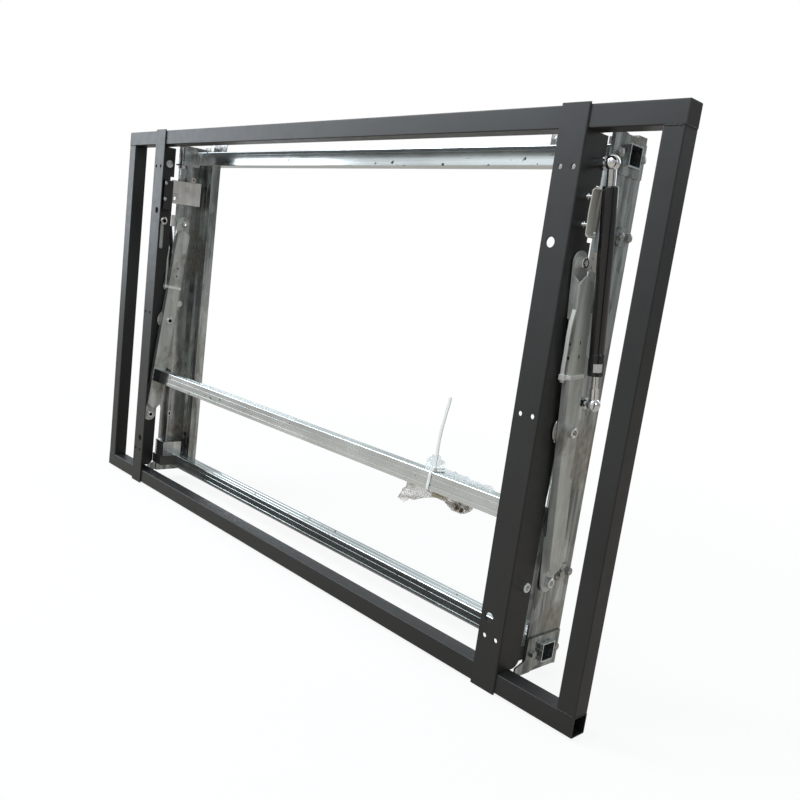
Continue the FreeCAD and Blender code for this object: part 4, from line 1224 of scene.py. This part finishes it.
@dataclass
class FixingsBag(SubAssembly):
    """Clear bag under the middle bar: a fan on the left, a neck, and a belly that holds the screws.

    The profiles list, from left to right, the bag's middle height and its half sizes in the bar's frame.
    A screw's or a plug's row is its angles in degrees about the height and the depth axis, and its place.
    """

    bar_half: float = 12.9
    behind: float = 12.0
    fan_skew: float = 6.5
    fan_end: float = 290.0
    film_sheet: float = 0.35
    stations: tuple[float, ...] = (251, 262, 277, 290, 300, 315, 330, 340, 350, 360, 370, 377, 380)
    middles: tuple[float, ...] = (-32, -29.5, -26, -23.5, -21.7, -20.3, -20, -21.4, -23, -23.3, -22, -19.6,
                                  -18.5)
    half_heights: tuple[float, ...] = (11.5, 11.5, 10.5, 8, 5.5, 3.6, 3.8, 6.3, 8.0, 8.2, 6.8, 4.0, 0.6)
    half_depths: tuple[float, ...] = (2.6, 4.2, 5.6, 5.4, 4.5, 3.4, 4.0, 6.5, 8.5, 8.5, 7.5, 4.5, 0.6)
    screws: tuple[tuple[float, ...], ...] = (
        (156.0, 6.0, 351.0, 13.5, -21.8), (150.0, -8.0, 358.5, 9.5, -23.5), (163.0, 4.0, 345.5, 9.0, -23.5),
        (158.0, -4.0, 361.0, 15.0, -20.6), (147.0, 9.0, 352.0, 8.0, -25.5))
    belly_plug: tuple[float, ...] = (165.0, 8.0, 348.0, 15.0, -25.5)
    neck_plug: tuple[float, ...] = (2.0, -3.0, 321.0, 11.5, -20.2)

    def film(self) -> Surface:
        """The bag's skin.

        The skin is a tube along X whose middle and half sizes follow the profiles. Folds are sines of the
        angle and of the place, its left end is cut askew, and it lies flat under the bar.

        Returns:
            The skin in the bar's frame.
        """
        rows, columns = 130, 96
        place = np.linspace(self.stations[0], self.stations[-1], rows)[:, None]
        share = (place - place[0]) / (place[-1] - place[0])
        angle = round_angles(columns)
        middle, half_height, half_depth = (np.interp(place, self.stations, profile) for profile in
                                           (self.middles, self.half_heights, self.half_depths))
        fan = np.clip((self.fan_end - place) / (self.fan_end - self.stations[0]), 0.0, 1.0)
        folds = (0.13 * np.sin(7 * angle + 6.0 * share) + 0.09 * np.sin(13 * angle - 17.0 * share)
                 + 0.06 * np.sin(5 * angle + 41.0 * share) + 0.05 * np.sin(19 * angle + 29.0 * share))
        size = 1.0 + folds * (0.7 + 1.3 * fan)
        points = np.empty((rows, columns, 3))
        points[..., 0] = place + self.fan_skew * np.sin(angle) * fan + 1.6 * np.sin(6 * angle) * fan ** 3
        points[..., 1] = self.behind + half_depth * size * np.cos(angle) + 1.6 * fan * np.sin(5.0 * angle)
        points[..., 2] = np.minimum(middle + half_height * size * np.sin(angle), -self.bar_half)
        return tube_shape(points)

    def tuft(self) -> Surface:
        """The bag's gathered mouth, a half round fan that stands above the bar behind it.

        A point lies at its radius times the sine and cosine of its angle from upright, and the folds are
        sines of that angle that grow with the radius.

        Returns:
            The tuft in the bar's frame.
        """
        radius = np.linspace(0.06, 1.0, 24)[:, None]
        turn = np.radians(np.linspace(-96.0, 96.0, 90))
        edge = 19.0 + 0.9 * np.sin(9.0 * turn) + 0.5 * np.sin(21.0 * turn)
        front = np.stack([297.0 + edge * radius * np.sin(turn),
                          15.4 + radius * (1.2 * np.sin(9.0 * turn) + 0.3 * np.sin(23.0 * turn)),
                          12.5 + edge * radius * np.cos(turn)], axis=-1)
        return slab_shape(front, front + np.array([0.0, self.film_sheet, 0.0]))

    def flap(self) -> Surface:
        """The bag's loose side, which stands a little above the bar behind it, to the right of the mouth.

        Its upper edge and its waves are sines of the place along the bar.

        Returns:
            The flap in the bar's frame.
        """
        rise = np.linspace(0.0, 1.0, 14)[:, None]
        along = np.linspace(0.0, 1.0, 90)
        top = 16.6 + 1.3 * np.sin(7.0 * along) + 0.7 * np.sin(31.0 * along) + 0.5 * np.sin(57.0 * along)
        top = top - 6.0 * np.clip((along - 0.86) / 0.14, 0.0, 1.0) ** 2
        front = np.stack([312.0 + 98.0 * along + 0.0 * rise,
                          14.3 + 0.7 * rise * np.sin(17.0 * along) + 0.2 * np.sin(41.0 * along),
                          2.0 + (top - 2.0) * rise], axis=-1)
        return slab_shape(front, front + np.array([0.0, self.film_sheet, 0.0]))

    def laid(self, surface: Surface, row: tuple[float, ...]) -> Surface:
        """Turns a surface made along X about the depth and the height axis, and lays it in the bag.

        Args:
            surface: The surface about its own middle.
            row: Its angles about the height and the depth axis, and its place.

        Returns:
            The placed surface in the bar's frame.
        """
        a, b = math.radians(row[0]), math.radians(row[1])
        about_height = np.array([[math.cos(a), -math.sin(a), 0], [math.sin(a), math.cos(a), 0], [0, 0, 1]])
        about_depth = np.array([[math.cos(b), 0, math.sin(b)], [0, 1, 0], [-math.sin(b), 0, math.cos(b)]])
        return Surface(surface.points @ about_depth.T @ about_height.T + np.array(row[2:]), surface.faces)

    def screw(self) -> Surface:
        """A screw with a round head, about its middle."""
        head = turned_shape([0.0, 2.2, 3.6, 3.7, 2.6, 0.0], [0.0, 0.0, -1.0, -1.8, -3.0, -3.1], 20)
        return join([thread_shape(1.9, 24.0, 1.3, 0.45, 14), head]).moved(-10.0, 0.0, 0.0)

    def plug(self) -> Surface:
        """A ribbed wall plug.

        Its radius falls along its length in steps that a sine makes.

        Returns:
            The plug about its middle.
        """
        places = np.concatenate([[0.0], np.linspace(0.0, 26.0, 60), [26.0]])
        radii = 3.1 - 0.02 * places + 0.25 * np.sin(places * 1.9)
        radii[[0, -1]] = 0.0
        return turned_shape(radii, places - 13.0, 24)

    def build(self) -> None:
        """Makes the bag, its mouth and what is in it."""
        bag = self.workshop.piece("clear_fixings_bag", MIDDLE_BAR.place(self.film()), FILM,
                                  "inner_scissors", 70.0)
        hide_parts("fixings_bag")
        screws = join([self.laid(self.screw(), row) for row in self.screws])
        loose = (("bag_mouth", self.tuft(), LEAF, 70.0), ("bag_flap", self.flap(), LEAF, 70.0),
                 ("bag_screws", screws, DARK_STEEL, 35.0),
                 ("bag_plugs", self.laid(self.plug(), self.belly_plug), PLASTIC, 35.0),
                 ("bag_neck_plug", self.laid(self.plug(), self.neck_plug), CREAM, 35.0))
        for name, surface, finish, sharp in loose:
            self.workshop.piece(name, MIDDLE_BAR.place(surface), finish, "inner_scissors", sharp)


@dataclass
class GasSprings(SubAssembly):
    """Cylinders with rolled ends, and a bare label on each collar."""

    place: float = 513.5
    depth: float = 26.0
    height: float = 286.0
    lean: float = 9.5669
    start: float = 24.0
    end: float = 215.97
    radius: float = 9.0
    roll: float = 2.2
    groove: float = 0.45
    collar: float = 9.5
    collar_end: float = 234.97

    def down(self, surface: Surface) -> Surface:
        """Hangs a surface made along X below the upper ball, in the mount's frame.

        Args:
            surface: Surface along X, counted from the ball.

        Returns:
            The placed surface.
        """
        x, u, h = surface.points.T
        points = np.stack([self.place + h, u, -x], axis=-1)
        return Tilt(self.depth, self.height, self.lean).place(Surface(points, surface.faces))

    def tube(self) -> Surface:
        """Closed tube whose upper end rolls over, with a groove near its lower end.

        Returns:
            The tube, in its place on the right.
        """
        turn = np.linspace(0.0, math.pi / 2, 8)[::-1]
        places = np.concatenate([[self.start], self.start + self.roll * (1.0 - np.sin(turn)),
                                 [self.end - 8.0, self.end - 7.2, self.end - 6.4, self.end, self.end]])
        radii = np.concatenate([[0.0], self.radius - self.roll * (1.0 - np.cos(turn)),
                                [self.radius, self.radius - self.groove, self.radius, self.radius, 0.0]])
        return self.down(turned_shape(radii, places, 64))

    def label(self) -> Surface:
        """Bare curved label on the collar, on its front and outer side.

        The label is a patch of a slightly larger cylinder between two angles.

        Returns:
            The label, in its place on the right.
        """
        place = np.array([self.collar_end - 15.0, self.collar_end - 5.0])[:, None]
        angle = np.radians(np.linspace(165.0, 100.0, 24))
        inner, outer = (np.stack([place + 0.0 * angle, radius * np.cos(angle) + 0.0 * place,
                                  radius * np.sin(angle) + 0.0 * place], axis=-1)
                        for radius in (self.collar + 0.02, self.collar + 0.12))
        return self.down(slab_shape(inner, outer))

    def build(self) -> None:
        """Makes the cylinders and the labels."""
        for side in Side:
            body = side.named("gas_cylinder")
            piece = self.workshop.piece(side.named("rolled_cylinder"), self.tube().on(side), CYLINDER, body)
            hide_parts(side.named("spring_cylinder"))
            self.workshop.piece(side.named("blank_label"), self.label().on(side), PAPER, body)


@dataclass(frozen=True)
class Lamp:
    """One square soft lamp: its place and side in metres, power in watts, colour, and what it faces."""

    name: str
    place: Triple
    size: float
    power: float
    colour: Colour
    aim: Triple = (0.0, 0.0, 0.0)


@dataclass
class Studio:
    """Camera at the photograph's place, soft lamps, pale floor and backdrop."""

    eye: Triple = (1.0418, -0.8715, 0.1416)
    right: Triple = (0.67708, 0.72406, 0.13148)
    up: Triple = (-0.22477, 0.03335, 0.97384)
    back: Triple = (0.70074, -0.68893, 0.18533)
    lens: float = 36.81
    shift: tuple[float, float] = (-0.00375, 0.03475)
    floor_height: float = -0.3455
    floor_half: float = 6.0
    floor_paint: tuple[float, ...] = (0.90, 0.90, 0.90, 1.0)
    floor_bounce: tuple[float, ...] = (0.39, 0.335, 0.28, 1.0)
    bright_side: Triple = (-0.62, -0.42, 0.66)
    unevenness: float = 0.45
    mirrored_white: float = 0.2
    mirrored_floor: float = 0.22
    room: tuple[tuple[float, Colour], ...] = (
        (0.12, (0.096, 0.110, 0.112)), (0.45, (0.145, 0.165, 0.170)), (0.72, (0.50, 0.54, 0.56)),
        (1.0, (0.90, 0.96, 1.0)))
    lamps: tuple[Lamp, ...] = (
        Lamp("upper_left_lamp", (-1.3, -1.3, 1.4), 1.0, 24.0, (0.86, 0.93, 1.0)),
        Lamp("left_lamp", (-2.4, -1.05, 0.62), 1.3, 15.0, (0.85, 0.92, 1.0)),
        Lamp("right_lamp", (2.6, -0.3, 1.1), 1.2, 7.0, (0.98, 0.99, 1.0)),
        Lamp("rear_lamp", (0.4, 2.2, 1.4), 1.8, 14.0, (1.0, 1.0, 1.0)),
        Lamp("left_inside_lamp", (0.45, -0.60, 0.85), 0.5, 3.2, (0.88, 0.96, 1.0), (-0.60, 0.0, 0.0)))

    def put(self, name: str, data: bpy.types.ID, axes: list[Triple], place: Triple) -> bpy.types.Object:
        """Adds an object to the scene.

        Args:
            name: Its name.
            data: Its camera or lamp.
            axes: Directions of its own x, y and z.
            place: Where it stands.

        Returns:
            The object.
        """
        matrix = np.eye(4)
        matrix[:3, :3] = np.column_stack(axes)
        matrix[:3, 3] = place
        thing = bpy.data.objects.new(name, data)
        thing.matrix_world = Matrix(matrix.tolist())
        bpy.context.scene.collection.objects.link(thing)
        return thing

    def camera(self) -> None:
        """Makes the scene's camera."""
        data = bpy.data.cameras.new("camera")
        data.lens = self.lens
        data.sensor_width = 36.0
        data.shift_x, data.shift_y = self.shift
        bpy.context.scene.camera = self.put("camera", data, [self.right, self.up, self.back], self.eye)

    def light(self, lamp: Lamp) -> None:
        """Makes one lamp.

        Args:
            lamp: What it is.
        """
        data = bpy.data.lights.new(lamp.name, "AREA")
        data.size = lamp.size
        data.energy = lamp.power
        data.color = lamp.colour
        back = np.array(lamp.place) - np.array(lamp.aim)
        back /= np.linalg.norm(back)
        side = np.cross([0.0, 0.0, 1.0], back)
        side /= np.linalg.norm(side)
        self.put(lamp.name, data, [side, np.cross(back, side), back], lamp.place)

    def seen_over(self, nodes: Nodes, plain: Input, seen: Input, mirrored: float) -> Input:
        """A shader that camera rays and those through clear film see, laid over what lights the mount.

        Args:
            nodes: Nodes of the world or of the floor's material.
            plain: Shader that lights the mount.
            seen: Shader that the camera sees.
            mirrored: Share of it that reflections see.

        Returns:
            The mixed shader.
        """
        rays = nodes.add("LightPath", {}).outputs
        direct = nodes.add("Math", {0: rays["Is Camera Ray"], 1: rays["Is Transmission Ray"]}, "MAXIMUM")
        glossy = nodes.add("Math", {0: rays["Is Glossy Ray"], 1: mirrored}, "MULTIPLY")
        share = nodes.add("Math", {0: direct.outputs[0], 1: glossy.outputs[0]}, "MAXIMUM")
        return nodes.add("MixShader", {"Fac": share.outputs[0], 1: plain, 2: seen}).outputs["Shader"]

    def world(self) -> None:
        """Room that is bright and cool at the upper left front, and dim below and behind.

        A direction's brightness follows its share along the line to the upper left front, with brighter
        and dimmer patches that a noise makes. The camera and clear film see plain white, and metal sees a
        part of that white.
        """
        world = bpy.data.worlds.new("room")
        bpy.context.scene.world = world
        nodes = Nodes(world)
        coords = nodes.add("TexCoord", {}).outputs["Generated"]
        toward = nodes.add("VectorMath", {0: coords, 1: self.bright_side}, "DOT_PRODUCT").outputs["Value"]
        spread = nodes.stops(nodes.mapped(toward, -1.0, 1.0, 0.0, 1.0), self.room)
        patches = nodes.add("TexNoise", {"Scale": 2.4, "Vector": coords}).outputs["Fac"]
        uneven = nodes.mapped(patches, 0.35, 0.65, 1.0 - self.unevenness, 1.0 + self.unevenness)
        room = nodes.add("Background", {"Strength": uneven, "Color": spread}).outputs["Background"]
        white = nodes.add("Background", {"Color": (*WHITE, 1.0)}).outputs["Background"]
        nodes.add("OutputWorld", {"Surface": self.seen_over(nodes, room, white, self.mirrored_white)})

    def floor(self) -> None:
        """Plain pale floor that keeps the mount's soft shadow.

        Near the mount the camera sees mostly white with a share of lit paint, which carries the shadow.
        That share fades out with the distance from the mount. Other rays see the duller bounce colour.
        """
        half, z = self.floor_half, self.floor_height
        mesh = bpy.data.meshes.new("floor")
        mesh.from_pydata([(-half, -half, z), (half, -half, z), (half, half, z), (-half, half, z)], [],
                         [(0, 1, 2, 3)])
        material = bpy.data.materials.new("floor_paint")
        nodes = Nodes(material)
        paint = nodes.add("BsdfDiffuse", {"Color": self.floor_paint}).outputs["BSDF"]
        bounce = nodes.add("BsdfDiffuse", {"Color": self.floor_bounce}).outputs["BSDF"]
        glow = nodes.add("Emission", {"Color": (*WHITE, 1.0), "Strength": 1.0}).outputs["Emission"]
        coords = nodes.add("TexCoord", {}).outputs["Object"]
        distance = nodes.add("VectorMath", {0: coords}, "LENGTH").outputs["Value"]
        fade = nodes.mapped(distance, 0.55, 1.8, 0.87, 1.0)
        seen = nodes.add("MixShader", {"Fac": fade, 1: paint, 2: glow}).outputs["Shader"]
        nodes.add("OutputMaterial", {"Surface": self.seen_over(nodes, bounce, seen, self.mirrored_floor)})
        mesh.materials.append(material)
        floor = bpy.data.objects.new("floor", mesh)
        bpy.context.scene.collection.objects.link(floor)

    def build(self) -> None:
        """Makes camera, lamps, world and floor."""
        bpy.context.scene.view_settings.view_transform = "Standard"
        self.camera()
        self.world()
        self.floor()
        for lamp in self.lamps:
            self.light(lamp)


def main() -> None:
    """Builds the pieces in order."""
    logging.basicConfig(level=logging.INFO, format="%(name)s: %(message)s")
    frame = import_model()
    workshop = Workshop()
    CadNodes(frame["nodes"]).dress()
    for kind in (FrontFrameWelds, HexFasteners, PivotFasteners, LevelScrews, LockDetails, LockCovers,
                 CableTies, FixingsBag, GasSprings):
        kind(workshop).build()
    Studio().build()
    LOG.info("%d pieces made", len(workshop.made))


if __name__ == "__main__":
    main()
